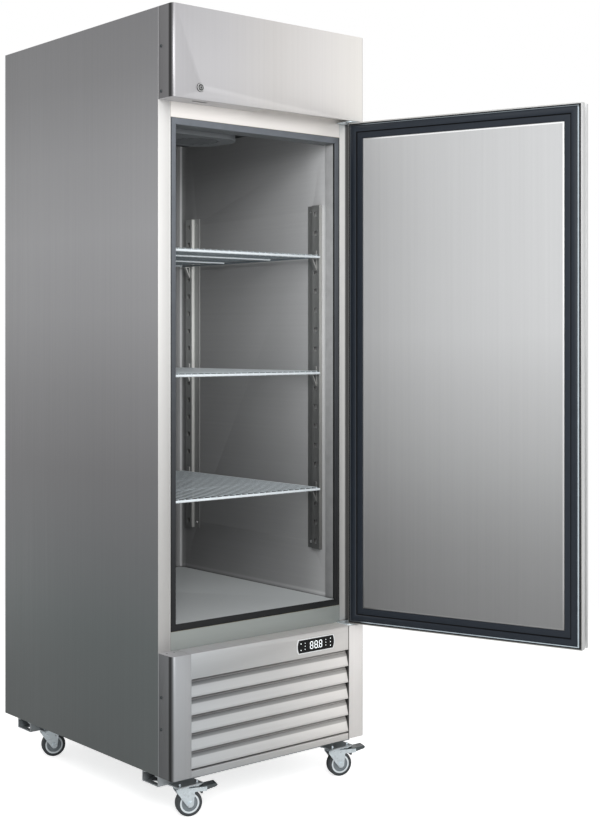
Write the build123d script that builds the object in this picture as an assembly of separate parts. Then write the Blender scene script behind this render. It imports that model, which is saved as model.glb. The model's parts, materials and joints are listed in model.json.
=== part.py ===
from build123d import *
import math
import os

os.makedirs("parts", exist_ok=True)

# Upright reach-in freezer with one door, on four casters.  Millimetres, +Z up.
# The origin is on the floor, half way across the cabinet, under its front frame:
# Y = 0 is the front face of the frame, +Y runs to the back and -X is the viewer's left.

# ---------------------------------------------------------------- driving sizes
CABINET_WIDTH = 680.0
CABINET_DEPTH = 800.0          # front frame to rear panel
CABINET_TOP = 2110.0
SKIN = 1.2                     # steel sheet of panels and rails
FIT = 0.2                      # clearance between pieces that are pushed together
RUNNING = 0.05                 # radial clearance of pins and shafts
SEAM = 0.6                     # visible joint between two front sheets

PANEL_DEPTH = 62.0             # how far header, door and lower front stand forward
CORNER_RADIUS = 12.0           # rounded upright edges of header and lower posts
HEADER_HEIGHT = 241.0
HEADER_STEP_X = -25.0          # its underside is recessed from here to the hinge side
HEADER_STEP = 12.0
LOWER_FRONT_HEIGHT = 320.0
POST_WIDTH = 60.0
STILE_WIDTH = 40.0             # folded front edge of a side panel
REAR_FOLD = 30.0
REAR_RIB_PITCH = 210.0
REAR_RIB_WIDTH = 26.0
REAR_RIB_END = 140.0           # from a rib's end to the panel's end
REAR_RIB_RISE = 1.0

FRAME_SIDE = 58.0              # side of the cabinet to the doorway
SILL = 67.0                    # lower front to the doorway
LINTEL = 59.0                  # doorway to the header
RAIL_LAP = 30.0                # rails run on behind header and lower front
BREAKER_WIDTH = 18.0
BREAKER_THICK = 3.0
BREAKER_LIP = 40.0
BREAKER_EASE = 1.5

LINER_THICK = 1.0
SIDE_WALL = 55.0               # outside of the cabinet to the cold space
REAR_WALL = 55.0
ROOF = 60.0
FLOOR_INSULATION = 62.0
LINER_COVE = 28.0
LINTEL_DEPTH = 55.0

DOOR_GAP = 6.0                 # above and below the door
DOOR_BACK = -10.0              # plane of the door's inner edge when it is shut
DOOR_SKIN = 1.0
DOOR_CORNER = 4.0
DOOR_OPEN_ANGLE = 109.5        # the door stands open by this much
HINGE_INSET = 12.0             # pivot from the side and from the front of the door
PIN_RADIUS = 5.0
PIN_LENGTH = 20.0
SLEEVE_RADIUS = 8.0
BRACKET_THICK = 3.0
BRACKET_WIDTH = 52.0
BRACKET_SCREW = 2.6
ARM_LENGTH = 84.0
ARM_HALF_WIDTH = 9.0
PULL_DEPTH = 20.0              # finger groove down the free edge
PULL_UNDERCUT = 2.0
PULL_BACK = -31.0
PULL_FRONT = -48.0
GASKET_MARGIN = 3.5
GASKET_WIDTH = 25.0
GASKET_HEIGHT = 9.0
DART_WIDTH = 19.0              # low strip between gasket and inner panel
DART_HEIGHT = 3.5
INNER_PANEL_RISE = 2.0

SHELF_HOLE_PITCH = 56.0
STANDARD_FOOT = 137.0          # floor of the cold space to the standards
STANDARD_HEADROOM = 161.0      # standards to the evaporator's shroud, at least
STANDARD_FIRST_HOLE = 22.0     # lowest hole above the standard's foot
STANDARD_LAST_HOLE = 26.0      # highest hole below the standard's top
STANDARD_BOX = 33.0
STANDARD_RISE = 12.0
STANDARD_FLANGE = 28.0
STANDARD_SHEET = 1.2
STANDARD_HOLE = 13.0
STANDARD_FRONT = 57.0          # front face of the front standards
STANDARD_BACK_GAP = 38.0       # rear standards to the back of the cold space
STANDARD_SCREW_END = 18.0
SHELVES_FROM_TOP = 3           # holes above the one that carries the top shelf
SHELF_SPACING = 6              # holes from one shelf to the next

CLIP_WIDTH = 11.0
CLIP_REACH = 17.0
CLIP_SHEET = 2.2
CLIP_TONGUE = 4.5
CLIP_DROP = 16.4               # from the middle of the hole down to the clip's ledge

WIRE = 3.4
SIDE_BAR = 6.2
CROSS_ROD = 4.8
WIRE_PITCH = 25.0
CROSS_RODS = 4
SHELF_SIDE_GAP = 15.0
SHELF_BACK_GAP = 30.0
SHELF_FRONT = 44.0
SHELF_NOSE = 11.0              # drop of the wires over the front edge

LOUVRE_COUNT = 5
LOUVRE_BAND = 66.0             # plain band over the louvres
LOUVRE_PITCH = 46.3
LOUVRE_FLAT = 28.0             # bright face of one blade
LOUVRE_LEAN = 14.0             # degrees that the face leans back
LOUVRE_CURL = 20.0             # radius of the curled upper part
LOUVRE_CURL_ANGLE = 62.0
LOUVRE_LIP = 7.0
BOTTOM_STRIP = 17.0
BOTTOM_STRIP_SHELF = 22.0
BAND_FOLD = 10.0

CONTROL_WIDTH = 140.0
CONTROL_HEIGHT = 40.0
CONTROL_FROM_SIDE = 188.0
CONTROL_DROP = 33.5            # top of the lower front to its middle
CONTROL_BOW = 5.0              # bulge of the short ends
CONTROL_STAND = 2.4
CONTROL_BORDER = 2.2
CONTROL_BODY_DEPTH = 36.0
CONTROL_FLANGE = 6.0           # bezel beyond the body, at its ends
DISPLAY_THICK = 1.0

LOCK_FROM_SIDE = 91.0
LOCK_RISE = 32.0
LOCK_RADIUS = 12.0
LOCK_COLLAR = 2.2
LOCK_BODY_RADIUS = 9.5
LOCK_PLUG_RADIUS = 8.0
LOCK_BODY_LENGTH = 24.0
CAM_LENGTH = 48.0              # it hangs 4 mm into the slot of the door's top
CAM_WIDTH = 12.0
CAM_THICK = 2.5

SCREW_HEAD = 4.2
SCREW_SHANK = 2.0
SCREW_RISE = 1.8
CHEEK_SCREW_BACK = 49.0        # behind the front face
HEADER_SCREWS = (19.0, 136.0)  # above the header's underside
POST_SCREWS = (112.0, 195.0)   # below the lower front's top

WHEEL_RADIUS = 35.0
TREAD_WIDTH = 25.0
TYRE_THICK = 8.5
TYRE_EASE = 3.0
TYRE_DROP = 4.0
WHEEL_SIDES = 20
HUB_RECESS = 2.5
AXLE_RADIUS = 4.0
BOSS_RADIUS = 9.0
CROWN_CLEARANCE = 3.5          # over the wheel
FORK_SHEET = 2.5
FORK_GAP = 3.0                 # between the tread's sides and the fork
FORK_BACK = 24.0
FORK_FRONT = 13.0
RACE_RADIUS = 19.0
RACE_HEIGHT = 6.7
KINGPIN_RADIUS = 6.0
PLATE_LENGTH = 72.0
PLATE_WIDTH = 60.0
PLATE_THICK = 3.0
PLATE_BOLT_X = 28.0
PLATE_BOLT_Y = 22.0
BOLT_SHANK = 3.0
BOLT_HEAD = 5.5
BOLT_HEAD_HEIGHT = 3.0
CASTER_TRAIL = 13.0
CASTER_HEADING = -20.0         # all wheels trail towards the viewer's right
CASTER_INSET = 72.0
CASTER_FRONT_Y = -14.0
CASTER_FROM_BACK = 136.0
PEDAL_PIVOT_X = 53.0
PEDAL_PIVOT_Z = 71.0
PEDAL_LENGTH = 36.0
PEDAL_PIN = 2.5
RAIL_HEIGHT = 27.0
RAIL_WIDTH = 72.0
RAIL_SHEET = 2.5
RAIL_RETURN = 14.0
RAIL_FROM_BACK = 150.0

SHROUD_SHEET = 1.5
EVAPORATOR_SPACE = 173.0       # false ceiling to the top of the cold space
SHROUD_HEIGHT = 79.0
SHROUD_FRONT = 60.0
SHROUD_DEPTH = 185.0
SHROUD_END_X = 0.0
SHROUD_CORNER = 70.0
EVAPORATOR_FAN_RADIUS = 60.0
EVAPORATOR_FAN_X = -105.0
GUARD_SLOTS = 7
GUARD_PITCH = 18.0
EVAPORATOR_DEPTH = 260.0
EVAPORATOR_SIDE_GAP = 85.0
EVAPORATOR_BACK_GAP = 185.0
EVAPORATOR_LIFT = 38.0

BASE_PAN_THICK = 2.0
CONDENSER_FRONT = 8.0
CONDENSER_DEPTH = 58.0
CONDENSER_LEFT_GAP = 115.0
CONDENSER_RIGHT_GAP = 175.0
CONDENSER_HEIGHT = 251.0
CONDENSER_FAN_RADIUS = 94.0
FIN_PITCH = 34.0
FIN_GAP = 24.0
FIN_CUT = 4.0
FAN_BLADES = 5
SHAFT_RADIUS = 3.0
COMPRESSOR_FROM_SIDE = 230.0
COMPRESSOR_FROM_BACK = 210.0
COMPRESSOR_RADIUS = 74.0
COMPRESSOR_HEIGHT = 172.0
FOOT_HEIGHT = 14.0
FOOT_X = 85.0
FOOT_Y = 48.0
PIPE_RADIUS = 4.0
DRAIN_PAN_FROM_SIDE = 40.0
DRAIN_PAN_WIDTH = 240.0
DRAIN_PAN_DEPTH = 270.0
DRAIN_PAN_FROM_BACK = 60.0
DRAIN_PAN_HEIGHT = 44.0
DRAIN_PAN_SHEET = 2.0
SWITCH_BOX = 130.0
SWITCH_BOX_HEIGHT = 120.0
SWITCH_BOX_FROM_SIDE = 20.0
SWITCH_BOX_FRONT = 250.0
VENT_ROWS = 6
VENT_COLUMNS = 2
VENT_SIDE = 90.0               # side of the cabinet to the rear grille's slots
VENT_RISE = 70.0
VENT_PITCH = 36.0
VENT_HEIGHT = 12.0
VENT_BAR = 22.0
GLAND_FROM_SIDE = 105.0
GLAND_RISE = 97.0
GLAND_BORE = 4.5
GLAND_BODY = 8.0
GLAND_FLANGE = 13.0

# ---------------------------------------------------------------- worked out
HALF_WIDTH = CABINET_WIDTH / 2
FRONT = -PANEL_DEPTH
CASTER_HEIGHT = 2 * WHEEL_RADIUS + CROWN_CLEARANCE + FORK_SHEET + RACE_HEIGHT + 0.3 + PLATE_THICK
CABINET_BOTTOM = CASTER_HEIGHT + RAIL_HEIGHT
LOWER_FRONT_TOP = CABINET_BOTTOM + LOWER_FRONT_HEIGHT
HEADER_BOTTOM = CABINET_TOP - HEADER_HEIGHT
OPENING_HALF_WIDTH = HALF_WIDTH - FRAME_SIDE
OPENING_BOTTOM = LOWER_FRONT_TOP + SILL
OPENING_TOP = HEADER_BOTTOM - LINTEL
FRAME_TOP = OPENING_TOP + BREAKER_WIDTH
FRAME_BOTTOM = OPENING_BOTTOM - BREAKER_WIDTH
FRAME_HALF_WIDTH = OPENING_HALF_WIDTH + BREAKER_WIDTH
LINER_HALF_WIDTH = HALF_WIDTH - SIDE_WALL
LINER_BACK = CABINET_DEPTH - REAR_WALL
LINER_CEILING = CABINET_TOP - ROOF
INSULATED_FLOOR_BOTTOM = OPENING_BOTTOM - FLOOR_INSULATION
DOOR_BOTTOM = LOWER_FRONT_TOP + DOOR_GAP
DOOR_TOP = HEADER_BOTTOM - DOOR_GAP
HINGE_X = HALF_WIDTH - HINGE_INSET
HINGE_Y = FRONT + HINGE_INSET
FALSE_CEILING = LINER_CEILING - EVAPORATOR_SPACE
SHROUD_BOTTOM = FALSE_CEILING - SHROUD_HEIGHT
STANDARD_BOTTOM = OPENING_BOTTOM + STANDARD_FOOT
STANDARD_ROOM = SHROUD_BOTTOM - STANDARD_HEADROOM - STANDARD_BOTTOM - STANDARD_FIRST_HOLE
STANDARD_HOLES = int(STANDARD_ROOM // SHELF_HOLE_PITCH) + 1
STANDARD_LENGTH = STANDARD_FIRST_HOLE + (STANDARD_HOLES - 1) * SHELF_HOLE_PITCH + STANDARD_LAST_HOLE
STANDARD_TOP = STANDARD_BOTTOM + STANDARD_LENGTH
STANDARD_REAR = LINER_BACK - STANDARD_BACK_GAP
STANDARD_X = LINER_HALF_WIDTH - STANDARD_RISE
TOP_SHELF_HOLE = STANDARD_HOLES - SHELVES_FROM_TOP
SHELF_HOLES = (TOP_SHELF_HOLE, TOP_SHELF_HOLE - SHELF_SPACING, TOP_SHELF_HOLE - 2 * SHELF_SPACING)
SHELF_HALF_WIDTH = LINER_HALF_WIDTH - SHELF_SIDE_GAP
SHELF_BACK = LINER_BACK - SHELF_BACK_GAP
LOUVRE_TOP = LOWER_FRONT_TOP - LOUVRE_BAND
CONTROL_X = HALF_WIDTH - CONTROL_FROM_SIDE
CONTROL_Z = LOWER_FRONT_TOP - CONTROL_DROP
LOCK_X = LOCK_FROM_SIDE - HALF_WIDTH
LOCK_Z = HEADER_BOTTOM + LOCK_RISE
LOCK_TAIL = FRONT + SKIN + LOCK_BODY_LENGTH
CASTER_X = HALF_WIDTH - CASTER_INSET
CASTER_REAR_Y = CABINET_DEPTH - CASTER_FROM_BACK
RAIL_REAR_Y = CABINET_DEPTH - RAIL_FROM_BACK
RAIL_TOP = CABINET_BOTTOM
RAIL_BOTTOM = CASTER_HEIGHT
PLATE_BOTTOM = CASTER_HEIGHT - PLATE_THICK
FORK_INNER = TREAD_WIDTH / 2 + FORK_GAP
FORK_OUTER = FORK_INNER + FORK_SHEET
PAN_TOP = CABINET_BOTTOM + BASE_PAN_THICK
CONDENSER_LEFT = CONDENSER_LEFT_GAP - HALF_WIDTH
CONDENSER_RIGHT = HALF_WIDTH - CONDENSER_RIGHT_GAP
CONDENSER_TOP = PAN_TOP + CONDENSER_HEIGHT
COMPRESSOR_X = HALF_WIDTH - COMPRESSOR_FROM_SIDE
COMPRESSOR_Y = CABINET_DEPTH - COMPRESSOR_FROM_BACK

pieces = {}


def box(x0, x1, y0, y1, z0, z1):
    """A block between two corners, given in any order."""
    centre = Pos((x0 + x1) / 2, (y0 + y1) / 2, (z0 + z1) / 2)
    return centre * Box(abs(x1 - x0), abs(y1 - y0), abs(z1 - z0))


def outline(points, rounds=()):
    """A flat closed face; rounds holds (corner number, radius) pairs."""
    face = make_face(Polyline(*points, close=True))
    for number, radius in rounds:
        corner = face.vertices().sort_by_distance(points[number])[0]
        face = fillet(corner, radius)
    return face


def upright(face, z0, z1):
    """Raise a plan outline from one height to another."""
    return extrude(Pos(0, 0, z0) * face, amount=z1 - z0, dir=(0, 0, 1))


def across(face, x0, x1):
    """Run an end outline, drawn as (Y, Z), along X."""
    return extrude(Pos(x0, 0, 0) * (Plane.YZ * face), amount=x1 - x0, dir=(1, 0, 0))


def along(face, y0, y1):
    """Run a front outline, drawn as (X, Z), along Y."""
    plane = Plane(origin=(0, 0, 0), x_dir=(1, 0, 0), z_dir=(0, -1, 0))
    return extrude(Pos(0, y0, 0) * (plane * face), amount=y1 - y0, dir=(0, 1, 0))


def rod(start, end, radius, sides=0):
    """A straight rod between two points, round or with a few sides inside its radius."""
    a, b = Vector(*start), Vector(*end)
    section = RegularPolygon(radius, sides) if sides else Circle(radius)
    return extrude(Plane(origin=a, z_dir=b - a) * section, amount=(b - a).length)


def bore(start, end, radius, sides=0):
    """A hole between two points, round or with a few sides that clear its radius."""
    a, b = Vector(*start), Vector(*end)
    section = RegularPolygon(radius, sides, major_radius=False) if sides else Circle(radius)
    return extrude(Plane(origin=a, z_dir=b - a) * section, amount=(b - a).length)


def turned(rings, sides):
    """A many-sided solid stood on Z from (radius, height) rings, all its faces flat."""
    def corner(ring, k):
        angle = 2 * math.pi * k / sides
        return Vector(ring[0] * math.cos(angle), ring[0] * math.sin(angle), ring[1])

    faces = [Face(Wire.make_polygon([corner(ring, k) for k in range(sides)])) for ring in (rings[0], rings[-1])]
    for low, high in zip(rings, rings[1:]):
        for k in range(sides):
            quad = [corner(low, k), corner(low, k + 1), corner(high, k + 1), corner(high, k)]
            faces.append(Face(Wire.make_polygon(quad)))
    return Solid(Shell(faces))


def frame_ring(half_width, z0, z1, width, y0, y1):
    """A flat rectangular ring standing in the XZ plane."""
    outer = box(-half_width, half_width, y0, y1, z0, z1)
    return outer - box(-half_width + width, half_width - width, y0 - 1, y1 + 1, z0 + width, z1 - width)


def keep(name, *shapes):
    """File a named piece, as one solid or as a group of separate ones."""
    solids = [s for shape in shapes for s in shape.solids()]
    pieces[name] = solids[0] if len(solids) == 1 else Compound(children=solids)


# ---------------------------------------------------------------- cabinet
def cheek_screw_places():
    """Screws through both cheeks of the header and of the lower posts."""
    heights = [HEADER_BOTTOM + rise for rise in HEADER_SCREWS]
    heights += [LOWER_FRONT_TOP - drop for drop in POST_SCREWS]
    return [(side, FRONT + CHEEK_SCREW_BACK, z) for side in (-1, 1) for z in heights]


def cheek_screw_holes():
    shank = SCREW_SHANK + FIT
    return [
        bore((side * (HALF_WIDTH - 4 * SKIN), y, z), (side * (HALF_WIDTH + SKIN), y, z), shank, 4)
        for side, y, z in cheek_screw_places()
    ]


def make_cheek_screws():
    screws = []
    for side, y, z in cheek_screw_places():
        face = side * HALF_WIDTH
        shank = rod((face - side * 9, y, z), (face, y, z), SCREW_SHANK, 4)
        head = rod((face, y, z), (face + side * SCREW_RISE, y, z), SCREW_HEAD, 6)
        screws.append(shank + head)
    keep("cheek_screws", *screws)


def side_panel(side):
    """One sheet folded into the front stile and the rear edge."""
    x_out = side * HALF_WIDTH
    x_in = side * (HALF_WIDTH - SKIN)
    back = CABINET_DEPTH - SKIN
    stile = side * (HALF_WIDTH - STILE_WIDTH)
    fold = side * (HALF_WIDTH - REAR_FOLD)
    plan = [(x_out, 0), (x_out, back), (fold, back), (fold, back - SKIN), (x_in, back - SKIN)]
    plan += [(x_in, SKIN), (stile, SKIN), (stile, 0)]
    return upright(outline(plan), CABINET_BOTTOM, CABINET_TOP)


def liner_space(extra, front):
    """The cold space, grown by extra on every wall, from a given front plane."""
    half = LINER_HALF_WIDTH + extra
    back = LINER_BACK + extra
    cove = LINER_COVE + extra
    coves = ((2, cove), (3, cove))
    foot, head = OPENING_BOTTOM - extra, OPENING_TOP + extra
    mouth = upright(outline([(-half, front), (half, front), (half, back), (-half, back)], coves), foot, head)
    lintel = LINTEL_DEPTH - extra
    upper = outline([(-half, lintel), (half, lintel), (half, back), (-half, back)], coves)
    return mouth + upright(upper, foot, LINER_CEILING + extra)


def rear_rib():
    """A long pressed rib with eased ends, drawn from the front."""
    height = CABINET_TOP - LOWER_FRONT_TOP - 2 * REAR_RIB_END
    w, h = REAR_RIB_WIDTH / 2, height / 2
    ease = w / 2
    points = [(-w, ease - h), (ease - w, -h), (w - ease, -h), (w, ease - h)]
    points += [(-x, -z) for x, z in points]
    return Pos(0, (CABINET_TOP + LOWER_FRONT_TOP) / 2) * outline(points)


def make_cabinet():
    keep("side_panel_left", side_panel(-1))
    keep("side_panel_right", side_panel(1))
    rear = box(-HALF_WIDTH, HALF_WIDTH, CABINET_DEPTH - SKIN, CABINET_DEPTH, LOWER_FRONT_TOP, CABINET_TOP)
    for number in (-1, 0, 1):
        rib = along(rear_rib(), CABINET_DEPTH - SKIN / 2, CABINET_DEPTH + 1)
        rear -= Pos(number * REAR_RIB_PITCH, 0, 0) * rib
    keep("rear_panel", rear)
    inner = HALF_WIDTH - SKIN
    back = CABINET_DEPTH - 2 * SKIN
    keep("top_panel", box(-inner, inner, SKIN, back, CABINET_TOP - SKIN, CABINET_TOP))

    foam = box(-inner, inner, SKIN, back, INSULATED_FLOOR_BOTTOM, CABINET_TOP - SKIN)
    foam -= liner_space(LINER_THICK + FIT, 0)
    pocket = FRAME_HALF_WIDTH + FIT
    foam -= box(-pocket, pocket, 0, BREAKER_THICK + FIT, FRAME_BOTTOM - FIT, FRAME_TOP + FIT)
    keep("cabinet_foam", foam)

    liner = liner_space(LINER_THICK, BREAKER_THICK) - liner_space(0, BREAKER_THICK - 1)
    for side, y, z in standard_screw_places():
        start = (side * (LINER_HALF_WIDTH - 1), y, z)
        end = (side * (LINER_HALF_WIDTH + LINER_THICK + 1), y, z)
        liner -= bore(start, end, SCREW_SHANK + FIT, 4)
    keep("inner_liner", liner)
    keep("breaker_strip", breaker_strip())

    half = FRAME_HALF_WIDTH - SEAM
    top_rail = box(-half, half, 0, SKIN, FRAME_TOP + SEAM, HEADER_BOTTOM + RAIL_LAP)
    bottom_rail = box(-half, half, 0, SKIN, LOWER_FRONT_TOP - RAIL_LAP, FRAME_BOTTOM - SEAM)
    keep("front_rails", top_rail, bottom_rail)


def breaker_strip():
    """The plastic frame round the doorway, with a lip over the liner's edge."""
    face = frame_ring(FRAME_HALF_WIDTH, FRAME_BOTTOM, FRAME_TOP, BREAKER_WIDTH, 0, BREAKER_THICK)
    wall = LINER_HALF_WIDTH - OPENING_HALF_WIDTH - FIT
    half = OPENING_HALF_WIDTH + wall
    lip = frame_ring(half, OPENING_BOTTOM - wall, OPENING_TOP + wall, wall, 0, BREAKER_LIP)
    past = half + 1
    lip -= box(-past, past, BREAKER_THICK, BREAKER_LIP + 1, OPENING_BOTTOM - 2 * wall, OPENING_BOTTOM)
    lip -= box(-past, past, BREAKER_THICK, BREAKER_LIP + 1, OPENING_TOP, OPENING_TOP + 2 * wall)
    breaker = face + lip
    rim = breaker.edges().filter_by(GeomType.LINE).group_by(Axis.Y)[0]
    reach = OPENING_HALF_WIDTH + 1
    rim = rim.filter_by(lambda e: abs(e.center().X) < reach)
    rim = rim.filter_by(lambda e: OPENING_BOTTOM - 1 < e.center().Z < OPENING_TOP + 1)
    return chamfer(rim, BREAKER_EASE)


def make_header():
    """A pan with rounded upright edges, screwed over the front of the cabinet."""
    w, t = HALF_WIDTH, SKIN
    outer = outline([(-w, 0), (-w, FRONT), (w, FRONT), (w, 0)], ((1, CORNER_RADIUS), (2, CORNER_RADIUS)))
    inner_r = CORNER_RADIUS - t
    inner = [(t - w, 1), (t - w, FRONT + t), (w - t, FRONT + t), (w - t, 1)]
    inner = outline(inner, ((1, inner_r), (2, inner_r)))
    header = upright(outer, HEADER_BOTTOM, CABINET_TOP) - upright(inner, HEADER_BOTTOM + t, CABINET_TOP - t)
    left, right = HEADER_STEP_X, HALF_WIDTH - REAR_FOLD
    near = FRONT + 8
    step = box(left - t, right + t, near - t, 0, HEADER_BOTTOM, HEADER_BOTTOM + HEADER_STEP + t)
    header = header + step
    header -= box(left, right, near, 0.5, HEADER_BOTTOM - 1, HEADER_BOTTOM + HEADER_STEP)
    header -= bore((LOCK_X, FRONT - 1, LOCK_Z), (LOCK_X, FRONT + 3, LOCK_Z), LOCK_BODY_RADIUS + FIT, 12)
    header -= cam_slot(HEADER_BOTTOM - 1, HEADER_BOTTOM + t + 1)
    for hole in cheek_screw_holes():
        header -= hole
    keep("header_panel", header)


def cam_slot(z0, z1):
    """Room for the lock's cam as it swings from lying to hanging."""
    half = CAM_WIDTH / 2 + 1
    return box(LOCK_X - half, LOCK_X + CAM_LENGTH - half, LOCK_TAIL - 1.5, LOCK_TAIL + CAM_THICK + 3, z0, z1)


def make_lock():
    housing = rod((LOCK_X, FRONT, LOCK_Z), (LOCK_X, LOCK_TAIL, LOCK_Z), LOCK_BODY_RADIUS, 12)
    collar = turned([(LOCK_RADIUS, 0), (LOCK_RADIUS - 1.5, LOCK_COLLAR)], 20)
    collar = Pos(LOCK_X, FRONT, LOCK_Z) * (Rot(90, 0, 0) * collar)
    housing = housing + collar
    through = (LOCK_X, FRONT - LOCK_COLLAR - 1, LOCK_Z), (LOCK_X, LOCK_TAIL + 1, LOCK_Z)
    housing -= bore(*through, LOCK_PLUG_RADIUS + RUNNING, 12)
    keep("lock_housing", housing)

    behind = LOCK_TAIL + 0.3
    plug = rod((LOCK_X, FRONT - LOCK_COLLAR - 0.4, LOCK_Z), (LOCK_X, behind, LOCK_Z), LOCK_PLUG_RADIUS)
    plug -= box(LOCK_X - 1.2, LOCK_X + 1.2, FRONT - 3, FRONT + 14, LOCK_Z - 5, LOCK_Z + 5)
    half, reach = CAM_WIDTH / 2, CAM_LENGTH - CAM_WIDTH / 2
    ease = half / 2
    cam = [(-half, ease - half), (ease - half, -half), (reach - ease, -half), (reach, ease - half)]
    cam += [(reach, half - ease), (reach - ease, half), (ease - half, half), (-half, half - ease)]
    cam = along(Pos(LOCK_X, LOCK_Z) * outline(cam), behind, behind + CAM_THICK)
    nut = along(Pos(LOCK_X, LOCK_Z) * RegularPolygon(5.5, 6), behind + CAM_THICK, behind + CAM_THICK + 3)
    keep("lock_plug", plug + cam + nut)


def make_lower_front():
    """Hollow posts with one rounded edge, open towards the grille between them."""
    foot, head = CABINET_BOTTOM + SKIN, LOWER_FRONT_TOP - SKIN
    for side, name in ((-1, "lower_post_left"), (1, "lower_post_right")):
        w, t = side * HALF_WIDTH, side * SKIN
        inner = side * (HALF_WIDTH - POST_WIDTH)
        plan = outline([(w, 0), (w, FRONT), (inner, FRONT), (inner, 0)], ((1, CORNER_RADIUS),))
        hollow = [(w - t, 1), (w - t, FRONT + SKIN), (inner + t, FRONT + SKIN), (inner + t, 1)]
        hollow = outline(hollow, ((1, CORNER_RADIUS - SKIN),))
        post = upright(plan, CABINET_BOTTOM, LOWER_FRONT_TOP) - upright(hollow, foot, head)
        post -= box(inner - 2 * t, inner + 2 * t, FRONT + 16, 1, foot, head)
        for hole in cheek_screw_holes():
            post -= hole
        if side < 0:
            for dx, dy in bracket_screws():
                post -= bore((dx - HALF_WIDTH, -dy, head - 1), (dx - HALF_WIDTH, -dy, head + 2), 2.2, 4)
        keep(name, post)


def bracket_screws():
    """Screw places of a hinge bracket, from the cabinet's side and from the frame."""
    return [(BRACKET_WIDTH * 0.31, 16), (BRACKET_WIDTH * 0.77, 16)]


def louvre_section():
    """One blade from its front lip: a leaning flat face that curls to the back."""
    lean = math.radians(LOUVRE_LEAN)
    turn = math.radians(LOUVRE_CURL_ANGLE)
    up = Vector(math.sin(lean), math.cos(lean))
    back = Vector(math.cos(lean), -math.sin(lean))
    foot = Vector(0, 0)
    bend = foot + up * LOUVRE_FLAT
    centre = bend + back * LOUVRE_CURL

    def on_curl(angle, radius):
        return centre - back * (radius * math.cos(angle)) + up * (radius * math.sin(angle))

    outer_r, inner_r = LOUVRE_CURL, LOUVRE_CURL - SKIN
    inner_bend = bend + back * SKIN
    inner_foot = Vector(SKIN / math.cos(lean), 0) + up * (SKIN / math.cos(lean))
    edges = [
        Line(foot, bend),
        ThreePointArc(bend, on_curl(turn / 2, outer_r), on_curl(turn, outer_r)),
        Line(on_curl(turn, outer_r), on_curl(turn, inner_r)),
        ThreePointArc(on_curl(turn, inner_r), on_curl(turn / 2, inner_r), inner_bend),
        Line(inner_bend, inner_foot),
        Line(inner_foot, Vector(LOUVRE_LIP, inner_foot.Y)),
        Line(Vector(LOUVRE_LIP, inner_foot.Y), Vector(LOUVRE_LIP, 0)),
        Line(Vector(LOUVRE_LIP, 0), foot),
    ]
    return make_face(edges)


def grille_panel():
    """The louvred front between the posts: band, five blades and bottom strip."""
    half = HALF_WIDTH - POST_WIDTH - SEAM
    back_of_cheek = -1.0
    strip_top = CABINET_BOTTOM + BOTTOM_STRIP
    panel = box(-half, half, FRONT, FRONT + SKIN, LOUVRE_TOP, LOWER_FRONT_TOP)
    panel += box(-half, half, FRONT, back_of_cheek, LOWER_FRONT_TOP - SKIN, LOWER_FRONT_TOP)
    panel += box(-half, half, FRONT, FRONT + BAND_FOLD, LOUVRE_TOP, LOUVRE_TOP + SKIN)
    panel += box(-half, half, FRONT, FRONT + SKIN, CABINET_BOTTOM, strip_top)
    panel += box(-half, half, FRONT, FRONT + BOTTOM_STRIP_SHELF, strip_top - SKIN, strip_top)
    panel += box(-half, half, FRONT, back_of_cheek, CABINET_BOTTOM, CABINET_BOTTOM + SKIN)
    for side in (-1, 1):
        panel += box(side * half, side * (half - SKIN), FRONT, back_of_cheek, CABINET_BOTTOM, LOWER_FRONT_TOP)
    section = louvre_section()
    for number in range(LOUVRE_COUNT):
        foot_z = LOUVRE_TOP - (number + 1) * LOUVRE_PITCH
        panel += across(Pos(FRONT, foot_z) * section, -half + SKIN / 2, half - SKIN / 2)
    half_w, half_h = control_body()
    panel -= box(CONTROL_X - half_w - FIT, CONTROL_X + half_w + FIT, FRONT - 1, FRONT + 3,
                 CONTROL_Z - half_h - FIT, CONTROL_Z + half_h + FIT)
    return panel


def control_body():
    """Half width and half height of the control's case behind its bezel."""
    return CONTROL_WIDTH / 2 - CONTROL_FLANGE, CONTROL_HEIGHT / 2 - CONTROL_FLANGE + CONTROL_BORDER


def control_outline(inset):
    """A lying rectangle whose short ends bow outwards."""
    w = CONTROL_WIDTH / 2 - CONTROL_BOW - inset
    h = CONTROL_HEIGHT / 2 - inset
    tip = CONTROL_WIDTH / 2 - inset
    edges = [
        Line((-w, -h), (w, -h)),
        ThreePointArc((w, -h), (tip, 0), (w, h)),
        Line((w, h), (-w, h)),
        ThreePointArc((-w, h), (-tip, 0), (-w, -h)),
    ]
    return Pos(CONTROL_X, CONTROL_Z) * make_face(edges)


def make_control():
    face = FRONT - CONTROL_STAND
    bezel = along(control_outline(0), face, FRONT)
    half_w, half_h = control_body()
    bezel += box(CONTROL_X - half_w, CONTROL_X + half_w, FRONT, FRONT + CONTROL_BODY_DEPTH,
                 CONTROL_Z - half_h, CONTROL_Z + half_h)
    seat = face + FIT + DISPLAY_THICK
    bezel -= along(control_outline(CONTROL_BORDER), face - 1, seat)
    keep("controller_body", bezel)
    keep("controller_display", along(control_outline(CONTROL_BORDER + FIT), face + FIT, seat))


# ---------------------------------------------------------------- inside the cold space
def standard_hole_z(number):
    return STANDARD_BOTTOM + STANDARD_FIRST_HOLE + number * SHELF_HOLE_PITCH


def standard_places():
    """Side, box front, box back and the end of the screw flange, for four standards."""
    places = []
    for side in (-1, 1):
        front, back = STANDARD_FRONT, STANDARD_REAR
        places.append((side, front, front + STANDARD_BOX, front + STANDARD_BOX + STANDARD_FLANGE))
        places.append((side, back - STANDARD_BOX, back, back - STANDARD_BOX - STANDARD_FLANGE))
    return places


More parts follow.
